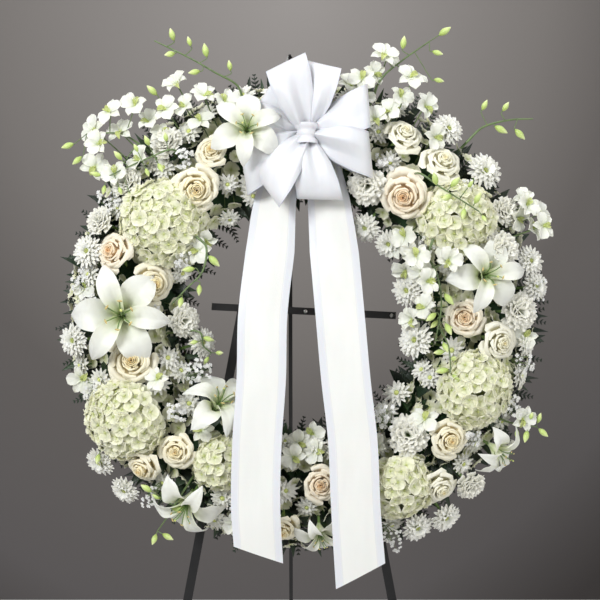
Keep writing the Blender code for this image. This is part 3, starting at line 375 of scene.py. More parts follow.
def add_carnation(soup, rng):
    """Crowded ruffled petals with toothed rims."""
    count = 36
    u = np.linspace(0, 1, 5)[:, None]
    s = np.linspace(-1, 1, 11)[None, :]
    shape = np.interp(u, (0, 0.4, 0.8, 1.0), (0.16, 0.50, 1.0, 0.96))
    for k in range(count):
        t = (k + 0.5) / count
        turn = k * GOLDEN + rng.uniform(-0.2, 0.2)
        top = 0.10 + 0.80 * t ** 0.8
        high = 0.50 - 0.46 * t ** 1.7 + rng.uniform(-0.05, 0.05)
        root, low = 0.04 + 0.10 * t, -0.34
        half = 0.30 + 0.10 * (1 - t)
        tooth = 0.035 * np.abs(np.sin(s * 7.0 + k)) * u ** 4
        fold = 0.060 * np.sin(s * 6.0 + k * 1.7) * u ** 2
        r = root + (top - root) * u ** 0.8 + fold * 0.6 + tooth
        z = low + (high - low) * np.sin(u * math.pi / 2) + fold + tooth * 0.6 - 0.10 * t * u ** 5
        soup.sheet(spun(r, s * half * shape, z, turn), t)
    soup.bead((0, 0, -0.42), Z, 0.44, 0.15, 5, 8, 0.4, "green")


def add_lily(soup, rng):
    """Six recurved tepals with a groove and waved edges, round stamens and a long style."""
    start = rng.uniform(0, 1)
    u = np.linspace(0, 1, 13)
    shape = np.interp(u, (0, 0.12, 0.32, 0.52, 0.72, 0.86, 0.95, 1),
                      (0.34, 0.56, 0.90, 1.0, 0.86, 0.52, 0.24, 0.03))
    cup = np.interp(u, (0, 0.3, 0.6, 0.85, 1), (0.24, 0.14, 0.03, -0.05, -0.04))
    for k in range(6):
        inner = k % 2
        turn = start + k * math.tau / 6 + rng.uniform(-0.06, 0.06)
        reach = 1.02 + rng.uniform(-0.05, 0.05)
        out = 0.03 + reach * (u ** 1.05) * (1 - 0.06 * u ** 3)
        drop = rng.uniform(0.20, 0.34)
        high = -0.36 + 0.62 * np.sin(u ** 0.8 * 2.25) - drop * u ** 4 - 0.16 * inner
        wide = shape * (0.325 if inner else 0.225)
        flat_petal(soup, turn, np.stack((out, high), -1), wide, rng.uniform(0, 1), columns=9, cup=cup,
                   ruffle=0.050 if inner else 0.018, rib=0.030, waves=2.6, phase=rng.uniform(0, 6),
                   lean=rng.uniform(-0.08, 0.08))
    for k in range(6):
        way = polar(1.0, start + (k + 0.5) * math.tau / 6)
        path = [way * r + (0, 0, z) for r, z in ((0.03, -0.26), (0.07, 0.02), (0.15, 0.24), (0.27, 0.36))]
        soup.tube(curve(path, 3), 0.013, 5, 0.5, "green")
        soup.bead(path[-1] + (0, 0, 0.012), (-way[1], way[0], 0.35), 0.13, 0.022, 5, 6, 0.5, "anther")
    style = [(0, 0, -0.30), (0.02, 0.01, 0.05), (0.03, 0.05, 0.34), (0.01, 0.11, 0.50)]
    soup.tube(curve(style, 3), 0.016, 6, 0.5, "green")
    soup.bead((0.01, 0.11, 0.51), (0, 0.4, 1), 0.07, 0.034, 5, 6, 0.5, "throat")
    soup.tube([(0, 0, -0.60), (0, 0, -0.46), (0, 0, -0.30)], [0.035, 0.05, 0.085], 8, 0.5, "green")


def add_hydrangea(soup, rng):
    """Many four-petalled florets over a dome, with a small core beneath."""
    floret = FLORET_R / soup.scale
    count = int(FLORETS * (soup.scale / FLORETS_HEAD) ** 2)
    deep = 0.74
    u = np.array((0, 0.35, 0.75, 1.0))[:, None]
    s = np.linspace(-1, 1, 5)[None, :]
    shape = np.array((0.12, 0.68, 0.84, 0.36))[:, None]
    for k in range(count):
        z = 1 - (k + 0.5) / count * 1.30
        way = polar(math.sqrt(max(0.0, 1 - z * z)), k * GOLDEN, z)
        spot = way * (0.93, 0.93, 0.93 * deep) * rng.uniform(0.93, 1.04)
        normal = unit(way / (1, 1, deep) + jitter(rng, 0.3))
        axes = frame_about(normal, rng.uniform(0, 6))
        wide = floret * rng.uniform(0.85, 1.12)
        tint = rng.uniform(0, 1)
        for j in range(4):
            turn = j * math.pi / 2 + rng.uniform(-0.1, 0.1)
            tilt = rng.uniform(0.02, 0.34)
            out = wide * (0.06 + 1.02 * u - 0.10 * s ** 2 * u)
            side = wide * 0.80 * s * shape
            high = wide * (tilt * u ** 1.6 + 0.16 * s ** 2 * u + 0.07 * np.sin(3 * s + 5 * u + k))
            soup.sheet(spun(out, side, high, turn) @ axes + spot, tint)
        soup.bead(spot + normal * wide * 0.08, normal, wide * 0.26, wide * 0.13, 4, 5, 0.5, "throat")
    soup.bead((0, 0, -0.04), Z, 1.26 * deep, 0.76, 9, 16, 0.3, "throat")


def add_mum(soup, rng):
    """Layers of narrow petals round a green-gold eye."""
    layers = ((19, 1.0, 0.10), (17, 0.90, 0.24), (14, 0.72, 0.38), (10, 0.48, 0.50))
    for layer, (count, reach, rise) in enumerate(layers):
        for k in range(count):
            turn = (k + 0.5 * layer) * math.tau / count + rng.uniform(-0.09, 0.09)
            long = reach * rng.uniform(0.92, 1.05)
            lift = rise + rng.uniform(-0.05, 0.05)
            line = [(0.06, 0.02 * layer - 0.05), (long * 0.45, lift * 0.70), (long * 0.80, lift),
                    (long, lift * rng.uniform(0.6, 1.1))]
            flat_petal(soup, turn, line, (0.05, 0.105, 0.10, 0.030), rng.uniform(0, 1), columns=3,
                       cup=0.035, lean=rng.uniform(-0.06, 0.06))
    seeds = 17
    for k in range(seeds):
        flat = math.sqrt((k + 0.5) / seeds) * 0.20
        soup.bead(polar(flat, k * GOLDEN, 0.30 - flat * 0.5), Z, 0.14, 0.042, 4, 5, 0.5, "throat")
    soup.bead((0, 0, 0), Z, 0.50, 0.26, 6, 9, 0.4, "throat")


def add_orchid(soup, rng):
    """Three pointed sepals, two broad petals and a folded lip, more or less open."""
    closed = rng.uniform(0.0, 0.5) ** 1.3
    top = math.pi / 2
    sepal, petal = (0.30, 0.72, 1.0, 0.80, 0.42, 0.05), (0.20, 0.62, 1.0, 0.92, 0.62, 0.12)
    u = np.linspace(0, 1, 6)
    for turn, reach, broad, rise, profile in (
            (top, 1.0, 0.31, 0.04, sepal), (top + 2.22, 0.96, 0.30, -0.02, sepal),
            (top - 2.22, 0.96, 0.30, -0.02, sepal), (top + 1.16, 1.0, 0.47, 0.10, petal),
            (top - 1.16, 1.0, 0.47, 0.10, petal)):
        out = 0.04 + reach * u * (1 - 0.30 * closed * u)
        high = rise + (0.16 + 0.9 * closed) * np.sin(u * 2.0) - 0.12 * u ** 3
        wide = broad * np.interp(u, (0, 0.2, 0.5, 0.75, 0.92, 1), profile)
        flat_petal(soup, turn + rng.uniform(-0.12, 0.12), np.stack((out, high), -1), wide,
                   rng.uniform(0, 1), cup=0.10 + 0.10 * closed, ruffle=0.04, phase=rng.uniform(0, 6),
                   lean=rng.uniform(-0.05, 0.05))
    lip = [(0.02, 0.10), (0.20, 0.28), (0.42, 0.26), (0.60, 0.06)]
    flat_petal(soup, -top, lip, (0.10, 0.20, 0.18, 0.05), 0.2, "throat", cup=0.16)
    soup.bead((0, 0.02, 0.16), (0, -0.5, 1), 0.26, 0.070, 5, 6, 0.5, "throat")


ADD = {"rose": add_rose, "carnation": add_carnation, "lily": add_lily, "hydrangea": add_hydrangea,
       "mum": add_mum}


class Bloom:
    """One flower's place, as its solid has it."""

    def __init__(self, node, kind, u, v, wide, lift):
        self.node, self.kind, self.spot = node, kind, (u, v)
        self.size = wide / 2000 * (1.0 if kind == "lily" else PETAL_REACH)
        self.flat = np.array((u, v)) / 1000
        side = across_ring(self.flat)
        self.centre = np.array((*self.flat, BLOOM_TOP - BLOOM_FALL * side * side + lift / 1000))
        core = ring_root(self.flat, FOAM_CORE)
        self.axis = unit(self.centre - core)
        self.foot = core + self.axis * STEM_FOOT


BLOOMS = [Bloom(node, kind, *row) for node, kind, rows in FLOWERS for row in rows]


# Materials
def feed(tree, socket, value):
    """Gives a socket a node's value, a colour or a number."""
    if isinstance(value, Value):
        tree.links.new(value.socket, socket)
    elif isinstance(value, tuple) and len(socket.default_value) == 4:
        socket.default_value = (*value, 1.0)
    else:
        socket.default_value = value


class Value:
    """A value in a material's nodes that can be reckoned with."""

    def __init__(self, tree, socket):
        self.tree, self.socket = tree, socket

    def work(self, how, a, b=0.0):
        node = self.tree.nodes.new("ShaderNodeMath")
        node.operation = how
        feed(self.tree, node.inputs[0], a)
        feed(self.tree, node.inputs[1], b)
        return Value(self.tree, node.outputs[0])

    def __add__(self, other):
        return self.work("ADD", self, other)

    def __sub__(self, other):
        return self.work("SUBTRACT", self, other)

    def __rsub__(self, other):
        return self.work("SUBTRACT", other, self)

    def __mul__(self, other):
        return self.work("MULTIPLY", self, other)

    def __pow__(self, other):
        return self.work("POWER", self, other)

    def __abs__(self):
        return self.work("ABSOLUTE", self)

    def sine(self):
        return self.work("SINE", self)

    def root(self):
        return self.work("SQRT", self)

    def held(self):
        """Kept from 0 to 1."""
        self.socket.node.use_clamp = True
        return self


def new_material(name):
    mat = bpy.data.materials.new(name)
    mat.use_nodes = True
    return mat, mat.node_tree, mat.node_tree.nodes["Principled BSDF"].inputs


def ramp(value, stops):
    node = value.tree.nodes.new("ShaderNodeValToRGB")
    while len(node.color_ramp.elements) < len(stops):
        node.color_ramp.elements.new(0.5)
    for element, (place, colour) in zip(node.color_ramp.elements, stops):
        element.position = place
        element.color = (*colour, 1.0)
    feed(value.tree, node.inputs["Fac"], value)
    return Value(value.tree, node.outputs["Color"])


def mix(share, a, b):
    node = share.tree.nodes.new("ShaderNodeMix")
    node.data_type = "RGBA"
    for name, value in (("Factor", share), ("A", a), ("B", b)):
        feed(share.tree, node.inputs[name], value)
    return Value(share.tree, node.outputs["Result"])


def noise(tree, scale, detail=3.0, stretch=None):
    coords = tree.nodes.new("ShaderNodeTexCoord").outputs["Object"]
    if stretch:
        mapping = tree.nodes.new("ShaderNodeMapping")
        mapping.inputs["Scale"].default_value = stretch
        tree.links.new(coords, mapping.inputs["Vector"])
        coords = mapping.outputs["Vector"]
    node = tree.nodes.new("ShaderNodeTexNoise")
    node.inputs["Scale"].default_value = scale
    node.inputs["Detail"].default_value = detail
    tree.links.new(coords, node.inputs["Vector"])
    return Value(tree, node.outputs["Fac"])


def patches(tree, scale, start, gain, detail=3.0):
    """Soft patches where the noise is over start."""
    return ((noise(tree, scale, detail) - start).held() * gain).held()


def split(tree, vector):
    node = tree.nodes.new("ShaderNodeSeparateXYZ")
    tree.links.new(vector, node.inputs[0])
    return [Value(tree, output) for output in node.outputs]


def notes(tree):
    """A point's (along, across, tint)."""
    attribute = tree.nodes.new("ShaderNodeAttribute")
    attribute.attribute_name = "petal"
    return split(tree, attribute.outputs["Vector"])


def finish_material(tree, inputs, values, height=None, strength=0.0, distance=0.0):
    """Feeds the shader, with a bump of that height if there is one."""
    for name, value in values.items():
        feed(tree, inputs[name], value)
    if height:
        node = tree.nodes.new("ShaderNodeBump")
        node.inputs["Strength"].default_value = strength
        node.inputs["Distance"].default_value = distance
        feed(tree, node.inputs["Height"], height)
        tree.links.new(node.outputs["Normal"], inputs["Normal"])


def petal_material(name, stops, shade, rough=0.6, glow=0.42, vein=26.0, coarse=140.0, heart=None):
    """Petals coloured from root to tip, or from heart to rim, with fine veins and soft blotches."""
    mat, tree, inputs = new_material(name)
    along, across, tint = notes(tree)
    patch = patches(tree, coarse, 0.42, 2.2)
    if heart:
        root = (1.0 - (along * 1.8).held()).held()
        colour = mix(root, ramp(tint, stops), heart)
    else:
        colour = ramp(along, stops)
        patch = (patch * (tint + 0.25)).held()
    colour = mix(patch, colour, shade)
    line = ((across * vein).sine() + 1.0) * 0.5
    colour = mix(line ** 3.0 * 0.10, colour, shade)
    finish_material(tree, inputs, {
        "Base Color": colour, "Roughness": rough, "Subsurface Weight": glow,
        "Subsurface Radius": (1.0, 0.9, 0.7), "Subsurface Scale": 0.007, "Sheen Weight": 0.15,
    }, line * 0.6 + noise(tree, 900.0, 2.0), 0.35, 0.0004)
    return mat


def leaf_material(name, dark, light):
    """Leaves with a light rib, side veins and dark patches."""
    mat, tree, inputs = new_material(name)
    along, across, tint = notes(tree)
    colour = mix(tint * 0.8, dark, light)
    rib = (1.0 - abs(across) * 7.0).held()
    colour = mix(rib * 0.35, colour, light)
    colour = mix(patches(tree, 90.0, 0.45, 2.5), colour, tuple(c * 0.55 for c in dark))
    lateral = (abs(across) * 9.0 + along * 60.0).sine()
    finish_material(tree, inputs, {
        "Base Color": colour, "Roughness": 0.42, "Specular IOR Level": 0.45, "Subsurface Weight": 0.05,
        "Subsurface Scale": 0.002,
    }, lateral + noise(tree, 500.0), 0.30, 0.0005)
    return mat


def satin_material(name, shaded_hem, dark, light):
    """White satin: a fine cross weave, soft streaks, a painted shade line along the fold inside each edge,
    and painted shade over the band outside that fold.
    """
    mat, tree, inputs = new_material(name)
    along, across, tint = notes(tree)
    colour = mix(noise(tree, 60.0, 4.0, (1.0, 1.0, 0.12)), dark, light)
    past = abs(across) - shaded_hem
    # Painted shade: the band outside the fold is greyed and blued
    colour = mix((past * 22.0).held() * 0.60, colour, (0.60, 0.62, 0.70))
    line = (1.0 - abs(past) * 45.0).held()
    # Painted shade: a darker grey line along the fold
    colour = mix(line * 0.45, colour, (0.52, 0.54, 0.62))
    weave = ((across * 420.0).sine() + (along * 2600.0).sine()) * 0.5
    soft = noise(tree, 45.0, 4.0, (1.0, 1.0, 0.25)) * 6.0
    finish_material(tree, inputs, {
        "Base Color": colour, "Roughness": 0.34, "Sheen Weight": 0.20, "Sheen Roughness": 0.4,
        "Anisotropic": 0.4, "Subsurface Weight": 0.08, "Subsurface Scale": 0.003,
    }, weave - line * 4.0 + soft, 0.22, 0.0003)
    return mat


def surface_material(name, dark, light, scale, rough, metal=0.0, depth=0.0003, strength=0.4):
    """A made surface with fine grain, worn patches and uneven gloss."""
    mat, tree, inputs = new_material(name)
    grain = noise(tree, scale, 6.0)
    worn = patches(tree, scale * 0.06, 0.52, 3.0, 5.0)
    colour = mix(grain * 0.25, mix(worn * 0.6, dark, light), light)
    finish_material(tree, inputs, {
        "Base Color": colour, "Roughness": worn * 0.18 + (rough - 0.08), "Metallic": metal,
    }, grain, strength, depth)
    return mat


MATS = {
    "rose": petal_material(
        "rose_cream", [(0.0, (0.96, 0.66, 0.22)), (0.22, (0.96, 0.80, 0.40)), (0.5, (0.95, 0.87, 0.60)),
                       (0.85, (0.94, 0.90, 0.72))], (0.95, 0.87, 0.62), glow=0.3, heart=(0.98, 0.78, 0.34)),
    "rose_pale": petal_material(
        "rose_ivory", [(0.0, (0.96, 0.84, 0.46)), (0.2, (0.95, 0.91, 0.64)), (0.6, (0.94, 0.92, 0.77))],
        (0.94, 0.91, 0.70), glow=0.3, heart=(0.95, 0.89, 0.58)),
    "rose_peach": petal_material(
        "rose_peach", [(0.0, (0.93, 0.50, 0.18)), (0.24, (0.96, 0.70, 0.40)), (0.55, (0.95, 0.83, 0.62)),
                       (0.9, (0.94, 0.89, 0.72))], (0.95, 0.82, 0.62), glow=0.3, heart=(0.96, 0.68, 0.38)),
    "lily": petal_material(
        "lily_white", [(0.0, (0.40, 0.52, 0.16)), (0.12, (0.62, 0.70, 0.36)), (0.34, (0.87, 0.89, 0.74)),
                       (1.0, (0.90, 0.91, 0.86))], (0.86, 0.88, 0.79), rough=0.48, vein=16.0),
    "hydrangea": petal_material(
        "hydrangea_ivory", [(0.0, (0.54, 0.62, 0.20)), (0.3, (0.81, 0.83, 0.52)), (1.0, (0.90, 0.88, 0.71))],
        (0.83, 0.83, 0.52), vein=9.0),
    "carnation": petal_material(
        "carnation_white", [(0.0, (0.62, 0.70, 0.42)), (0.4, (0.84, 0.85, 0.76)), (1.0, (0.90, 0.885, 0.79))],
        (0.85, 0.84, 0.71), vein=12.0),
    "mum": petal_material(
        "mum_white", [(0.0, (0.70, 0.76, 0.50)), (0.3, (0.86, 0.87, 0.80)), (1.0, (0.90, 0.885, 0.81))],
        (0.85, 0.85, 0.73), vein=6.0),
    "orchid": petal_material(
        "orchid_white", [(0.0, (0.60, 0.70, 0.34)), (0.2, (0.84, 0.87, 0.74)), (1.0, (0.90, 0.90, 0.82))],
        (0.84, 0.86, 0.68), rough=0.5, vein=10.0),
    "bud": petal_material(
        "orchid_bud", [(0.0, (0.34, 0.46, 0.10)), (0.6, (0.54, 0.66, 0.24)), (1.0, (0.70, 0.76, 0.42))],
        (0.42, 0.56, 0.16), rough=0.45, vein=4.0),
    "throat": petal_material(
        "flower_eye", [(0.0, (0.36, 0.46, 0.10)), (1.0, (0.56, 0.62, 0.22))], (0.50, 0.50, 0.16), vein=5.0),
    "anther": petal_material(
        "anther", [(0.0, (0.46, 0.34, 0.12)), (1.0, (0.60, 0.50, 0.22))], (0.40, 0.30, 0.10), vein=5.0,
        coarse=600.0),
    "puff": petal_material(
        "baby_breath", [(0.0, (0.70, 0.74, 0.62)), (0.5, (0.90, 0.90, 0.88))], (0.84, 0.85, 0.82), vein=5.0,
        coarse=500.0),
    "green": leaf_material("stem_green", (0.10, 0.20, 0.05), (0.26, 0.38, 0.12)),
    "leaf": leaf_material("fern_green", (0.003, 0.010, 0.005), (0.014, 0.036, 0.015)),
    "leaf_light": leaf_material("leaf_green", (0.006, 0.020, 0.007), (0.024, 0.058, 0.018)),
    "twig": leaf_material("twig_green", (0.10, 0.16, 0.06), (0.22, 0.30, 0.12)),
    # Painted shade: the bow's satin is a darker, bluer copy of the tails' satin of the same ribbon
    "satin": satin_material("satin_bow_shaded", 0.92, (0.64, 0.65, 0.70), (0.76, 0.76, 0.79)),
    # The tails' satin, lighter and warmer, with painted shade on the bands outside its folds
    "satin_tail": satin_material("satin_tails", 0.70, (0.70, 0.70, 0.68), (0.77, 0.77, 0.75)),
    "rivet": surface_material("rivet_steel", (0.45, 0.45, 0.45), (0.62, 0.62, 0.62), 900.0, 0.36, metal=1.0),
}
FLOWER_MATS = ("rose", "rose_pale", "rose_peach", "green", "carnation", "lily", "anther", "throat",
               "hydrangea", "mum")
SLOTS = {"rose": "rose_petals", "hydrangea": "hydrangea_florets", "lily": "lily_petals",
         "carnation": "white_petals", "mum": "white_petals"}
ROSE_TONES = {
    (200, 218): "rose_pale", (146, 258): "rose_pale", (197, -246): "rose_pale", (281, -38): "rose_pale",
    (148, 171): "rose_peach", (-268, 90): "rose_peach", (28, -242): "rose_peach", (233, -3): "rose_peach",
}


def build_flowers():
    """One piece for each node of flowers."""
    soups, slots = {}, {}
    for i, b in enumerate(BLOOMS):
        rng = random.Random(100 + i)
        soup = soups.setdefault(b.node, Soup(*FLOWER_MATS))
        slots[b.node] = SLOTS[b.kind]
        soup.main = ROSE_TONES.get(b.spot, b.kind)
        tilt = b.axis + jitter(rng, 0.12)
        if b.kind in ("mum", "carnation"):
            tilt = tilt + (0, 0, 0.8)
        soup.at(frame_about(tilt, rng.uniform(0, 6)), b.centre, b.size)
        ADD[b.kind](soup, rng)
        soup.home()
        stem = curve([b.centre - b.axis * b.size * 0.5, (b.centre + b.foot) / 2, b.foot], 3)
        soup.tube(stem, 0.0021, 7, 0.4, "green")
    for node, soup in soups.items():
        soup.make("petals_" + node, slots[node], [node])


def add_bud(soup, near, c, way, rng, smallest, largest):
    """An orchid's bud at c on a thin stalk."""
    soup.tube(curve([near, c - way * 0.008, c - way * 0.003], 3), 0.0007, 6, 0.5, "twig")
    grown = rng.uniform(smallest, largest)
    soup.bead(c + way * 0.004, way, BUD_LONG * grown, BUD_R * grown, 8, 8, rng.uniform(0, 1), "bud", 0.45)


def build_sprays():
    """Orchid sprays: a bare stem with buds at its tip and open flowers lower down."""
    for i, (name, high, path, flowers, buds) in enumerate(SPRAYS):
        rng = random.Random(300 + i)
        soup = Soup("orchid", "throat", "twig", "bud")
        line = [(u / 1000, v / 1000, high / 1000 + 0.006 * math.sin(j)) for j, (u, v) in enumerate(path)]
        stem = curve(line, 6)
        soup.tube(stem, np.linspace(0.0019, 0.0010, len(stem)), 7, 0.3, "twig")
        knee = (*stem[0][:2], SPRAY_KNEE)
        soup.tube(curve([stem[0], knee, ring_root(stem[0], 0.026)], 4), 0.0019, 7, 0.3, "twig")
        for kind, spots, over in (("flower", flowers, 0.012), ("bud", buds, 0.006)):
            for u, v in spots:
                c = np.array((u / 1000, v / 1000, high / 1000 + over))
                k = np.argmin(np.linalg.norm(stem - c, axis=1))
                near = stem[k]
                if np.linalg.norm(c - near) > FAR_FROM_STEM:
                    near = ring_root(c, 0.030)
                if kind == "bud":
                    onward = unit(stem[min(k + 1, len(stem) - 1)] - stem[max(k - 1, 0)])
                    add_bud(soup, near, c, unit(unit(c - near) + onward * BUD_ONWARD), rng, 0.72, 1.06)
                    continue
                stalk = curve([near, (near + c) / 2 + (0, 0, 0.004), c - (0, 0, 0.002)], 3)
                soup.tube(stalk, 0.0008, 6, 0.5, "twig")
                face = (c[0] * 0.8, c[1] * 0.8, 0.35 + rng.uniform(0, 0.5))
                soup.at(frame_about(face, rng.uniform(0, 6)), c, ORCHID_R)
                add_orchid(soup, rng)
                soup.home()
        soup.make("petals_" + name, "orchid_sprays", [name])


def add_frond(soup, base, way, long, wide, rng):
    """A fern tip: a rachis with pairs of toothed leaflets that shorten to a point."""
    way = unit(way)
    side = unit(np.cross(Z, way))
    normal = np.cross(way, side)
    u = np.linspace(0, 1, 7)[:, None]
    bend = -0.10 * long * u ** 2
    soup.tube(base + way * long * u + normal * bend, np.linspace(0.0010, 0.0004, 7), 5, 0.3)
    pairs = max(6, int(long / LEAFLET_GAP))
    tint = rng.uniform(0, 1)
    for k in range(pairs):
        t = (k + 0.6) / pairs
        at = base + way * long * t - normal * 0.10 * long * t * t
        reach = wide * (1 - t) ** 0.7 * (0.55 + 0.45 * min(1, t * 5)) + 0.0022
        half = max(0.0011, reach * 0.20)
        for sign in (-1, 1):
            out = unit(side * sign + way * (0.55 + 0.4 * t)) + normal * rng.uniform(-0.12, 0.16)
            cross = unit(np.cross(normal, out))
            rows = []
            for share, w in ((0.0, 0.45), (0.35, 1.0), (0.7, 0.72), (1.0, 0.06)):
                mid = at + out * reach * share - normal * 0.08 * reach * share
                rows.append([mid - cross * half * w + normal * half * 0.25 * w, mid,
                             mid + cross * half * w + normal * half * 0.25 * w])
            soup.sheet(np.array(rows), tint, thick=0.0003)


def add_leaf(soup, base, way, normal, long, half, rng, mat=None, arch=0.18):
    """One pointed leaf, folded along its rib and arched."""
    way, normal = unit(way), unit(normal)
    side = unit(np.cross(normal, way))
    normal = np.cross(way, side)
    rows = []
    for share, w in zip(np.linspace(0, 1, 7), (0.10, 0.58, 0.92, 1.0, 0.80, 0.44, 0.04)):
        mid = base + way * long * share + normal * long * (arch * math.sin(share * 2.4) - 0.12 * share ** 3)
        rows.append([mid + side * half * w * s + normal * half * 0.28 * abs(s) * w for s in (-1, 0, 1)])
    soup.sheet(np.array(rows), rng.uniform(0, 1), mat, 0.0004)


# Fern tips by side: direction, the twig's radius, their number, their lengths and their widths
FRONDS = {
    "outer": (1, 0.3095, 31, (0.048, 0.066), (0.011, 0.016)),
    "inner": (-1, 0.1805, 17, (0.034, 0.050), (0.009, 0.013)),
}
# Three layers: height, how far they rise, how far in they start
FROND_LAYERS = ((0.010, -0.10, 0.010), (0.020, 0.08, 0.010), (0.034, 0.42, 0.018))


def build_foliage():
    """Fern tips round the outer and the inner side of the ring, in the sectors that their solids have."""
    for where, (sign, radius, count, lengths, widths) in FRONDS.items():
        for k in range(4):
            rng = random.Random(500 + k + 10 * sign)
            soup = Soup("leaf", "twig")
            first, last = k * 90 + 46.0, k * 90 + 136.0
            arc = [polar(radius, a, 0.0165) for a in np.radians(np.linspace(first + 1.5, last - 1.5, 24))]
            soup.tube(arc, 0.0019, 7, 0.4, "twig")
            for j in range(count):
                spot = first + 1.5 + (last - first - 3) * (j + rng.uniform(0.2, 0.8)) / count
                a = math.radians(spot)
                level, rise, inset = FROND_LAYERS[j % 3]
                x, y = math.cos(a + rng.uniform(-0.35, 0.35)), math.sin(a + rng.uniform(-0.35, 0.35))
                way = np.array((x * sign, y * sign, rise + rng.uniform(-0.1, 0.1)))
                base = polar(radius - sign * inset, a, level)
                long, wide = rng.uniform(*lengths), rng.uniform(*widths)
                if j % 4 == 1:
                    add_leaf(soup, base, way, (0.1, 0.2, 1), long * 0.95, wide * 0.62, rng, arch=0.10)
                else:
                    add_frond(soup, base, way, long, wide, rng)
            soup.make(f"fronds_{where}_{k + 1}", "green_leaves", [f"foliage_{where}_{k + 1}"])


LEAVES = ("leaf", "leaf_light")


def build_filler():
    """Leaves pinned over the foam, between the flowers."""
    rng = random.Random(41)
    soup = Soup(*LEAVES)
    for k in range(FILLER_LEAVES):
        a = k * GOLDEN
        r = math.sqrt(rng.uniform(FOAM_IN ** 2, FOAM_OUT ** 2))
        base = polar(r, a, FOAM_FRONT - 0.003)
        lean = (r - RING_MID) / 0.055
        way = polar(1.0, rng.uniform(0, math.tau)) * 0.8 + polar(1.0, a) * lean * 0.7 + (0, 0, 0.55)
        add_leaf(soup, base, way, (0.2, 0.1, 1), rng.uniform(0.026, 0.044), rng.uniform(0.007, 0.011), rng,
                 LEAVES[k % 2])
    soup.make("leaf_filler", "green_leaves")


# Both edges of the ring: number of blades, where they start, direction, shortest, longest
EDGES = ((150, 0.300, 1, 0.040, 0.062), (60, 0.192, -1, 0.026, 0.040))


def build_edge_leaves():
    """Dark narrow blades that stand out past the flowers."""
    rng = random.Random(43)
    soup = Soup(*LEAVES)
    for count, start, sign, shortest, longest in EDGES:
        for k in range(count):
            a = math.tau * (k + rng.uniform(0, 1)) / count
            r = start + sign * rng.uniform(-0.006, 0.006)
            base = polar(r, a, rng.uniform(0.022, 0.050))
            way = polar(sign, a + rng.uniform(-0.55, 0.55), rng.uniform(-0.15, 0.40))
            add_leaf(soup, base, way, (0.1, 0.1, 1), rng.uniform(shortest, longest),
                     rng.uniform(0.0040, 0.0066), rng, LEAVES[k % 2], 0.08)
    soup.make("leaf_edge", "green_leaves")


# Bud sprays that lie over the flowers: the stem's path, then its buds (mm)
BUDS_LAID = [
    ([(165, 203, 112), (197, 181, 132), (251, 148, 122)],
     [(189, 190), (214, 186), (236, 183), (247, 163), (229, 147), (207, 168), (256, 140)]),
    ([(-180, 236, 92), (-220, 225, 100), (-281, 199, 84)],
     [(-194, 251), (-220, 246), (-236, 236), (-261, 226), (-223, 208), (-204, 214), (-293, 202), (-284, 184),
      (-262, 182), (-246, 172)]),
    ([(-174, -258, 88), (-191, -286, 82), (-209, -312, 70)],
     [(-220, -250), (-206, -262), (-186, -250), (-212, -320), (-197, -318), (-182, -278)]),
    ([(287, -150, 66), (316, -158, 62), (340, -162, 56)],
     [(311, -168), (331, -149), (343, -153), (325, -172), (347, -168)]),
    ([(194, -4, 108), (209, -44, 106), (212, -83, 112)],
     [(191, -10), (206, -19), (199, -52), (214, -62), (216, -86), (203, -78)]),
    ([(-154, -22, 88), (-142, -44, 84), (-131, -54, 78)],
     [(-152, -38), (-138, -33), (-122, -54), (-136, -62)]),
    ([(-262, -180, 84), (-280, -190, 76), (-292, -196, 68)], [(-272, -196), (-286, -184), (-294, -204)]),
]


def build_laid_buds():
    rng = random.Random(59)
    soup = Soup("twig", "bud")
    for path, buds in BUDS_LAID:
        points = np.array(path) / 1000
        stem = curve([ring_root(points[0], 0.034), *points], 6)
        soup.tube(stem, np.linspace(0.0018, 0.0009, len(stem)), 7, 0.3)
        for u, v in buds:
            flat = np.array((u, v)) / 1000
            near = stem[np.argmin(np.linalg.norm(stem[:, :2] - flat, axis=1))]
            c = np.array((*flat, near[2] + rng.uniform(0.000, 0.008)))
            add_bud(soup, near, c, unit(c - near), rng, 0.60, 0.98)
    soup.make("buds_laid", "orchid_sprays")


# Open orchids that lie among the other flowers: across, up, height (mm)
ORCHIDS_LAID = [
    (-180, 332, 64), (-168, 300, 74), (-141, 314, 76), (-262, 264, 66), (-300, 268, 62), (-222, 278, 68),
    (-146, 278, 84), (-200, 260, 74), (-112, 306, 82), (-232, 222, 78), (-300, 214, 60), (70, 330, 66),
    (88, 312, 74), (104, 348, 64), (122, 370, 60), (141, 315, 74), (160, 340, 66), (126, 292, 84),
    (104, 280, 90), (176, 300, 72), (190, 256, 82), (322, 162, 58), (344, 146, 56), (332, 124, 60),
    (309, 141, 66), (148, 114, 90), (160, 92, 96), (138, 100, 76), (172, 64, 100), (150, 66, 84),
    (176, 10, 100), (160, -6, 84), (206, 96, 104), (-3, -184, 70), (16, -172, 62), (22, -198, 76),
    (-12, -204, 80), (64, -196, 84), (-312, 40, 62), (-318, -92, 62), (-150, 92, 96), (-138, 110, 84),
    (-176, 102, 102), (108, -190, 84), (-146, -166, 90), (176, -150, 96), (318, -150, 62), (322, -30, 62),
    (-96, -300, 66), (-206, -92, 104),
]


def surface(p):
    """The height of the layer between the flowers, over the leaning plane."""
    side = across_ring(p)
    return LAYER_TOP - LAYER_FALL * side * side


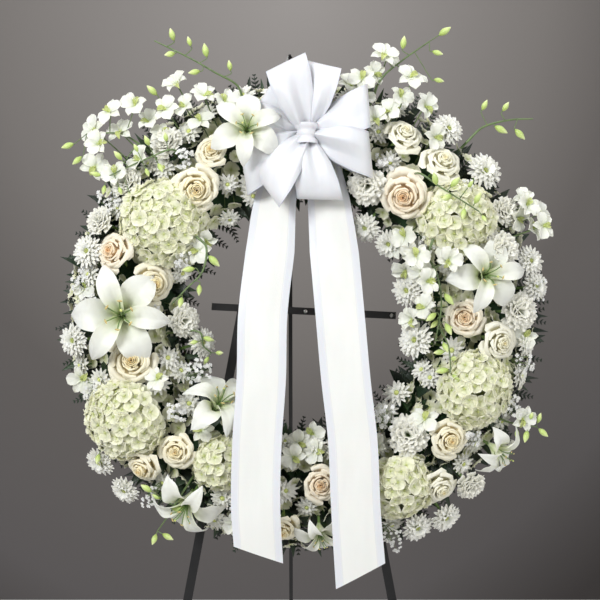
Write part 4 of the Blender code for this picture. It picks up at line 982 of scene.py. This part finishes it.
def build_laid_orchids():
    rng = random.Random(55)
    soup = Soup("orchid", "throat", "twig")
    for u, v, high in ORCHIDS_LAID:
        c = np.array((u, v, high)) / 1000
        root = ring_root((u, v), 0.036)
        stalk = curve([root, (root + c) / 2 + (0, 0, -0.004), c - (0, 0, 0.003)], 4)
        soup.tube(stalk, 0.0010, 6, 0.5, "twig")
        outward = np.array((*unit((u, v)), 0.0)) * across_ring(c) * 0.7
        face = outward + (rng.uniform(-0.6, 0.6), rng.uniform(-0.6, 0.6), 1.0)
        soup.at(frame_about(face, rng.uniform(0, 6)), c, rng.uniform(0.019, 0.023))
        add_orchid(soup, rng)
        soup.home()
    soup.make("orchids_laid", "orchid_sprays")


def free_spots(rng, count, low, high, own, apart):
    """Places on the ring with room for own between the flowers, and no nearer to each other than apart."""
    taken = [(b.flat, b.size * (0.62 if b.kind == "lily" else 0.90)) for b in BLOOMS]
    found = []
    for _ in range(count * 40):
        a = rng.uniform(0, math.tau)
        p = polar(math.sqrt(rng.uniform(low ** 2, high ** 2)), a)[:2]
        if any(np.linalg.norm(p - q) < size + own * 0.55 for q, size in taken):
            continue
        if any(np.linalg.norm(p - q) < apart for q in found):
            continue
        found.append(p)
        if len(found) == count:
            break
    return found


# Small mums: bands of the ring with their number, and their layers of petals with reach, rise and number
MUM_BANDS = ((0.304, 0.328, 38), (0.176, 0.196, 18), (0.20, 0.30, 26))
MUM_LAYERS = ((1.0, 0.12, 14), (0.78, 0.34, 10), (0.48, 0.52, 6))


def build_small_mums():
    """Small daisies along the outer and the inner edge and between the flowers."""
    rng = random.Random(61)
    soup = Soup("mum", "throat", "green")
    for low, high, count in MUM_BANDS:
        for p in free_spots(rng, count, low, high, own=0.018, apart=0.030):
            wide = rng.uniform(0.0165, 0.0205)
            c = np.array((*p, surface(p) + rng.uniform(-0.006, 0.004)))
            core = ring_root(p, FOAM_CORE)
            axis = unit(unit(c - core) + (0, 0, 0.6) + jitter(rng, 0.3))
            soup.tube([c - axis * 0.004, (c + core) / 2, core + (c - core) * 0.2], 0.0012, 6, 0.4, "green")
            soup.at(frame_about(axis, rng.uniform(0, 6)), c, wide)
            for reach, rise, petals in MUM_LAYERS:
                for k in range(petals):
                    long, lift = reach * rng.uniform(0.90, 1.06), rise + rng.uniform(-0.08, 0.06)
                    line = [(0.05, 0.0), (long * 0.62, lift * 0.90), (long, lift * 0.9)]
                    turn = (k + rng.uniform(-0.2, 0.2)) * math.tau / petals + reach
                    flat_petal(soup, turn, line, (0.06, 0.15, 0.045), rng.uniform(0, 1), columns=3, cup=0.05)
            soup.bead((0, 0, 0.28), Z, 0.34, 0.20, 5, 8, 0.5, "throat")
            soup.home()
    soup.make("small_mums", "white_petals")


def build_florets():
    """Single ivory florets in the gaps between the larger flowers."""
    rng = random.Random(67)
    soup = Soup("hydrangea", "throat", "twig")
    for p in free_spots(rng, 385, 0.186, 0.336, own=0.004, apart=0.0144):
        c = np.array((*p, surface(p) - rng.uniform(0.004, 0.020)))
        axis = unit(c - ring_root(p, FOAM_CORE) + jitter(rng, 0.03))
        soup.tube([c, c - axis * 0.022], 0.0007, 4, 0.5, "twig")
        soup.at(frame_about(axis, rng.uniform(0, 6)), c, rng.uniform(0.0085, 0.0125))
        tint = rng.uniform(0, 1)
        for j in range(4):
            lift = rng.uniform(0.05, 0.45)
            line = [(0.05, 0.0), (0.45, lift * 0.3), (0.80, lift * 0.8), (1.0, lift)]
            flat_petal(soup, j * math.pi / 2 + rng.uniform(-0.12, 0.12), line, (0.14, 0.58, 0.64, 0.32), tint,
                       columns=3, cup=0.12, ruffle=0.16, waves=1.5, phase=rng.uniform(0, 6))
        soup.bead((0, 0, 0.08), Z, 0.26, 0.13, 4, 5, 0.5, "throat")
        soup.home()
    soup.make("florets", "hydrangea_florets")


# Baby's breath: across, up, height, spread (mm), number of heads
BREATH = [
    (-278, 162, 74, 26, 34), (-170, 225, 92, 22, 26), (-318, 51, 66, 24, 30), (-307, 72, 66, 20, 24),
    (-148, -80, 92, 28, 48), (-217, 3, 92, 22, 30), (116, -145, 96, 26, 34), (287, 44, 88, 26, 34),
    (244, -174, 84, 20, 26), (338, 36, 62, 24, 26), (128, -326, 66, 24, 28), (-300, -110, 76, 24, 30),
    (-180, -140, 96, 20, 28), (180, 100, 98, 20, 26), (230, 180, 92, 22, 30), (-216, -262, 76, 24, 30),
    (300, -130, 76, 24, 28), (322, -70, 66, 22, 26), (-90, -290, 78, 22, 26), (60, -280, 84, 22, 24),
    (-170, 80, 100, 18, 20), (-305, 20, 72, 20, 24), (118, 220, 92, 18, 22), (-40, -270, 84, 20, 20),
]
# Heads for each one counted above
BREATH_SHARE = 1.2


def build_breath():
    rng = random.Random(77)
    soup = Soup("puff", "twig")
    for u, v, high, spread, count in BREATH:
        c = np.array((u, v, high)) / 1000
        out = np.array((*unit((u, v)), 0.0))
        root = ring_root((u, v), 0.030)
        fork = c - (c - root) * 0.28
        soup.tube(curve([root, (root + fork) / 2 + out * 0.004, fork], 3), 0.0009, 5, 0.4, "twig")
        for k in range(int(count * BREATH_SHARE)):
            way = np.clip((rng.gauss(0, 1), rng.gauss(0, 1), rng.gauss(0, 0.7)), -1.4, 1.4)
            tip = c + way * spread / 2500
            mid = (fork + tip) / 2 + jitter(rng, 0.003)
            if k % 2 == 0:
                soup.tube([fork, mid, tip], [0.0005, 0.0004, 0.0003], 4, 0.5, "twig")
            wide = rng.uniform(0.0019, 0.0031)
            soup.at(frame_about(unit(tip - fork) + (0, 0, 0.6), rng.uniform(0, 6)), tip, wide)
            for j in range(4):
                flat_petal(soup, j * math.pi / 2, [(0.10, 0.10), (1.05, 0.42)], (0.36, 0.52),
                           rng.uniform(0, 1), columns=3, cup=0.14)
            soup.bead((0, 0, 0.30), Z, 0.8, 0.46, 4, 5, 0.8)
            soup.home()
    soup.make("baby_breath", "white_petals")


# The satin bow
KNOT_HIGH = 0.116
LOOP_PLEAT, LOOP_RIPPLE = 0.0062, 0.0016


def ribbon(name, grid, nodes, held, thick=0.0004):
    soup = Soup("satin_tail" if held == "hung" else "satin")
    soup.sheet(grid, 0.5, thick=thick)
    piece = soup.make(name, "white_satin", nodes)


# A loop seen from its side: share of its length, height
LOOP_STEPS = [(0.04, 0.002), (0.22, 0.012), (0.46, 0.020), (0.72, 0.021), (0.93, 0.014), (1.0, 0.001),
              (0.92, -0.010), (0.70, -0.014), (0.44, -0.013), (0.20, -0.009), (0.05, -0.004)]


def loop_grid(turn, long, high, roll, slant, ridge, seed):
    """A ribbon that leaves the knot, rolls over at its far end and comes back, gathered at both ends."""
    way = polar(1.0, turn)
    flat = np.array((-way[1], way[0], 0.0))
    up = np.array(Z)
    line = curve(LOOP_STEPS, 4)
    share = np.interp(line[:, 0], (0.04, 0.22, 0.46, 0.72, 1.0), (0.26, 0.52, 0.80, 0.95, 1.0))
    phase = random.Random(seed).uniform(0, 6)
    rows = []
    for i, (along, lift) in enumerate(line):
        angle = math.radians(roll) * along
        side = flat * math.cos(angle) + up * math.sin(angle)
        pleat = (1 - along) ** 0.9
        mid = np.array((*KNOT, high / 1000)) + way * long / 1000 * along + up * lift
        row = []
        for q in np.linspace(-1, 1, LOOP_COLUMNS):
            crease = 2 / math.pi * math.asin(0.98 * math.sin(q * 5.2 + phase))
            fold = LOOP_PLEAT * pleat * crease + LOOP_RIPPLE * math.sin(q * 2.6 + phase + i * 0.12)
            fold += LOOP_RIDGE * (0.45 - abs(q - ridge)) * math.sin(math.pi * min(1.0, along * 1.15) ** 0.8)
            across = side * RIBBON * LOOP_DRAWN / 2 * share[i] * q
            row.append(mid + across + up * fold + way * long / 1000 * slant * q * along)
        rows.append(row)
    return np.array(rows)


def build_bow():
    for i, (turn, *rest) in enumerate(LOOPS):
        grid = loop_grid(math.radians(turn), *rest, 900 + i)
        ribbon(f"satin_loop_{i + 1}", grid, ["bow"] if i == 0 else [],
               "gathered")
    build_knot()
    for name, (path, hand) in TAILS.items():
        build_tail(name, path, hand)


def build_knot():
    """The ribbon's middle wrapped over the gathered loops, and the pin that holds it to the foam."""
    centre = np.array((*KNOT, KNOT_HIGH))
    rows = []
    for a in np.linspace(0, math.tau * 0.97, 26):
        row = []
        for s in np.linspace(-1, 1, 11):
            r = KNOT_R + 0.0012 * math.cos(s * 9.0) + 0.004 * s * s
            across = KNOT_HALF * s + 0.002 * math.sin(a)
            row.append(centre + (r * math.cos(a) * 1.05, across, r * math.sin(a)))
        rows.append(row)
    grid = np.array(rows)
    ribbon("satin_knot", grid, [], "gathered", 0.0006)
    soup = Soup("twig")
    soup.bead(centre, (0.1, 1, 0), 0.030, KNOT_R - 0.003, 8, 14)
    soup.tube([(*KNOT, 0.104), (*KNOT, 0.066), (*KNOT, 0.032)], 0.0015, 8)
    soup.make("bow_pin", "white_satin")


def build_tail(name, path, hand):
    line = curve(np.array(path) / 1000, 12)
    steps = np.linspace(0, len(path) - 1, len(line))
    share = np.interp(steps, range(len(TAIL_GATHER) + 1), (*TAIL_GATHER, 1.0))
    last = len(path) - 2
    rows = []
    for i, mid in enumerate(line):
        k = steps[i]
        wave = 0.0022 * math.sin(k * 1.3 + hand)
        pleat = max(0.0, 1 - k / 2.2)
        row = []
        for s in np.linspace(-1, 1, 15):
            fold = 0.0035 * pleat * math.cos(s * 7.0) + wave * s + 0.003 * (1 - s * s)
            fold += 0.0008 * math.sin(k * 2.7 + s * 1.9)
            edge = 0.0006 if abs(s) > 0.70 else 0.0
            point = mid + (s * RIBBON / 2 * share[i], 0.0, fold + edge)
            if k > last:
                cut = 0.018 * (1 - s) if hand > 0 else -0.012 * (1 - s)
                point[1] -= cut * (k - last)
            row.append(point)
        rows.append(row)
    grid = np.array(rows)
    ribbon("satin_" + name, grid, [name], "hung")


def dress_nodes():
    """Materials of the solids that stay."""
    for look, names in (
            (surface_material("easel_paint", (0.006, 0.006, 0.007), (0.020, 0.020, 0.022), 260.0, 0.46),
             ("front_leg_left", "front_leg_right", "rear_leg", "crossbar", "apex_bracket")),
            (surface_material("foot_rubber", (0.010, 0.010, 0.010), (0.030, 0.030, 0.030), 420.0, 0.75),
             ("foot_left", "foot_right", "foot_rear")),
            (surface_material("tray_plastic", (0.010, 0.024, 0.012), (0.030, 0.056, 0.030), 300.0, 0.50),
             ("plastic_tray",)),
            (surface_material("wire_steel", (0.060, 0.062, 0.060), (0.14, 0.14, 0.14), 900.0, 0.4, metal=1.0),
             ("hanging_wire",)),
            (surface_material("floral_foam", (0.020, 0.060, 0.022), (0.050, 0.120, 0.040), 700.0, 0.9,
                              depth=0.0012, strength=0.9), ("foam_ring",))):
        for name in names:
            node = frame["nodes"][name]
            if not node.material_slots:
                node.data.materials.append(look)
            for place in node.material_slots:
                place.material = look


def build_rivets():
    """Small steel heads on the crossbar's front."""
    soup = Soup("rivet")
    for u, v in ((0.005, 0.0054), (0.1325, -0.0009)):
        path = [(u, v, -0.0010), (u, v, 0.0002), (u, v, 0.0008), (u, v, 0.0011)]
        soup.tube(path, [0.0024, 0.0030, 0.0026, 0.0010], 18)
    soup.make("crossbar_rivets", "wire_steel")


def floor_material():
    mat, tree, inputs = new_material("floor_pale")
    light = (0.56, 0.55, 0.54)
    colour = mix(noise(tree, 3.0) * 0.3, light, tuple(c * 0.9 for c in light))
    finish_material(tree, inputs, {"Base Color": colour, "Roughness": 0.9})
    return mat


WALL_Y = 1.25
# Where on the wall, up from its middle, the painted light is brightest
WALL_PAINTED_LIGHT_Y = 0.35


def wall_material():
    """Grey with a painted pool of light high in the middle and painted shade that darkens outwards and to the
    right; it lets the view through from behind.
    """
    mat, tree, inputs = new_material("wall_grey_painted_light")
    x, y, _ = split(tree, tree.nodes.new("ShaderNodeTexCoord").outputs["Object"])
    down = (y - WALL_PAINTED_LIGHT_Y) * 0.75
    far = (down * down + x * x).root()
    shade = ((far + x * 0.12) * 0.8).held()
    # Painted light and shade: lightest at the painted light's centre, darker outwards and to the right
    colour = ramp(shade, [(0.0, (0.285, 0.270, 0.262)), (0.46, (0.172, 0.161, 0.154)),
                          (0.60, (0.120, 0.111, 0.107)), (0.84, (0.110, 0.103, 0.104)),
                          (1.0, (0.060, 0.055, 0.054))])
    finish_material(tree, inputs, {"Base Color": colour, "Roughness": 0.95, "Specular IOR Level": 0.1})
    pick = tree.nodes.new("ShaderNodeMixShader")
    behind = tree.nodes.new("ShaderNodeNewGeometry").outputs["Backfacing"]
    shader = tree.nodes["Principled BSDF"].outputs[0]
    clear = tree.nodes.new("ShaderNodeBsdfTransparent").outputs[0]
    for socket, output in zip(pick.inputs, (behind, shader, clear)):
        tree.links.new(output, socket)
    tree.links.new(pick.outputs[0], tree.nodes["Material Output"].inputs["Surface"])
    return mat


def build_stage():
    bpy.ops.mesh.primitive_plane_add(size=16.0, location=(0, 0, -0.0006))
    floor = bpy.context.object
    floor.name = "studio_floor"
    floor.data.materials.append(floor_material())
    bpy.ops.mesh.primitive_plane_add(size=8.0, location=(0, WALL_Y, 1.0), rotation=(math.radians(90), 0, 0))
    wall = bpy.context.object
    wall.name = "studio_wall"
    wall.data.materials.append(wall_material())
    wall.visible_shadow = False


def look_at(ob, place, target):
    n = unit(np.asarray(place, float) - np.asarray(target, float))
    right = unit(np.cross(Z, n))
    m = np.eye(4)
    m[:3, 0], m[:3, 1], m[:3, 2], m[:3, 3] = right, np.cross(n, right), n, place
    ob.matrix_world = Matrix(m.tolist())


def add_light(name, place, target, size, power, colour=(1, 1, 1)):
    data = bpy.data.lights.new(name, "AREA")
    data.shape = "SQUARE"
    data.size = size
    data.energy = power
    data.color = colour
    light = bpy.data.objects.new(name, data)
    bpy.context.scene.collection.objects.link(light)
    look_at(light, place, target)


KEY, FILL, TOP, REAR, SKY = 96.0, 44.0, 24.0, 16.0, 0.40


def build_lights():
    target = (0.0, -0.1, 0.95)
    add_light("key_light", (-1.7, -2.4, 2.8), target, 1.1, KEY)
    add_light("fill_light", (2.4, -2.2, 1.5), target, 2.4, FILL, (1.0, 0.99, 0.97))
    add_light("top_light", (0.2, 0.2, 3.0), target, 1.6, TOP)
    add_light("rear_light", (-1.2, 2.6, 2.4), target, 1.8, REAR)
    background = bpy.data.worlds.new("studio")
    background.use_nodes = True
    sky = background.node_tree.nodes["Background"]
    sky.inputs["Color"].default_value = (0.90, 0.89, 0.88, 1.0)
    sky.inputs["Strength"].default_value = SKY
    bpy.context.scene.world = background


# The camera faces the leaning ring from the front, far enough off for a long lens
VIEW_CENTRE = (-0.003, 0.022, 0.060)
VIEW_WIDTH = 0.870
VIEW_DISTANCE = 3.0
SENSOR = 36.0


def build_camera():
    data = bpy.data.cameras.new("camera")
    data.sensor_width = SENSOR
    data.lens = SENSOR * VIEW_DISTANCE / VIEW_WIDTH
    camera = bpy.data.objects.new("camera", data)
    bpy.context.scene.collection.objects.link(camera)
    target = world(VIEW_CENTRE)
    look_at(camera, target + OUT * VIEW_DISTANCE, target)
    bpy.context.scene.camera = camera
    bpy.context.scene.view_settings.view_transform = "Standard"


build_camera()
build_flowers()
build_sprays()
build_foliage()
build_filler()
build_edge_leaves()
build_laid_orchids()
build_laid_buds()
build_small_mums()
build_florets()
build_breath()
build_bow()
build_rivets()
dress_nodes()
build_stage()
build_lights()
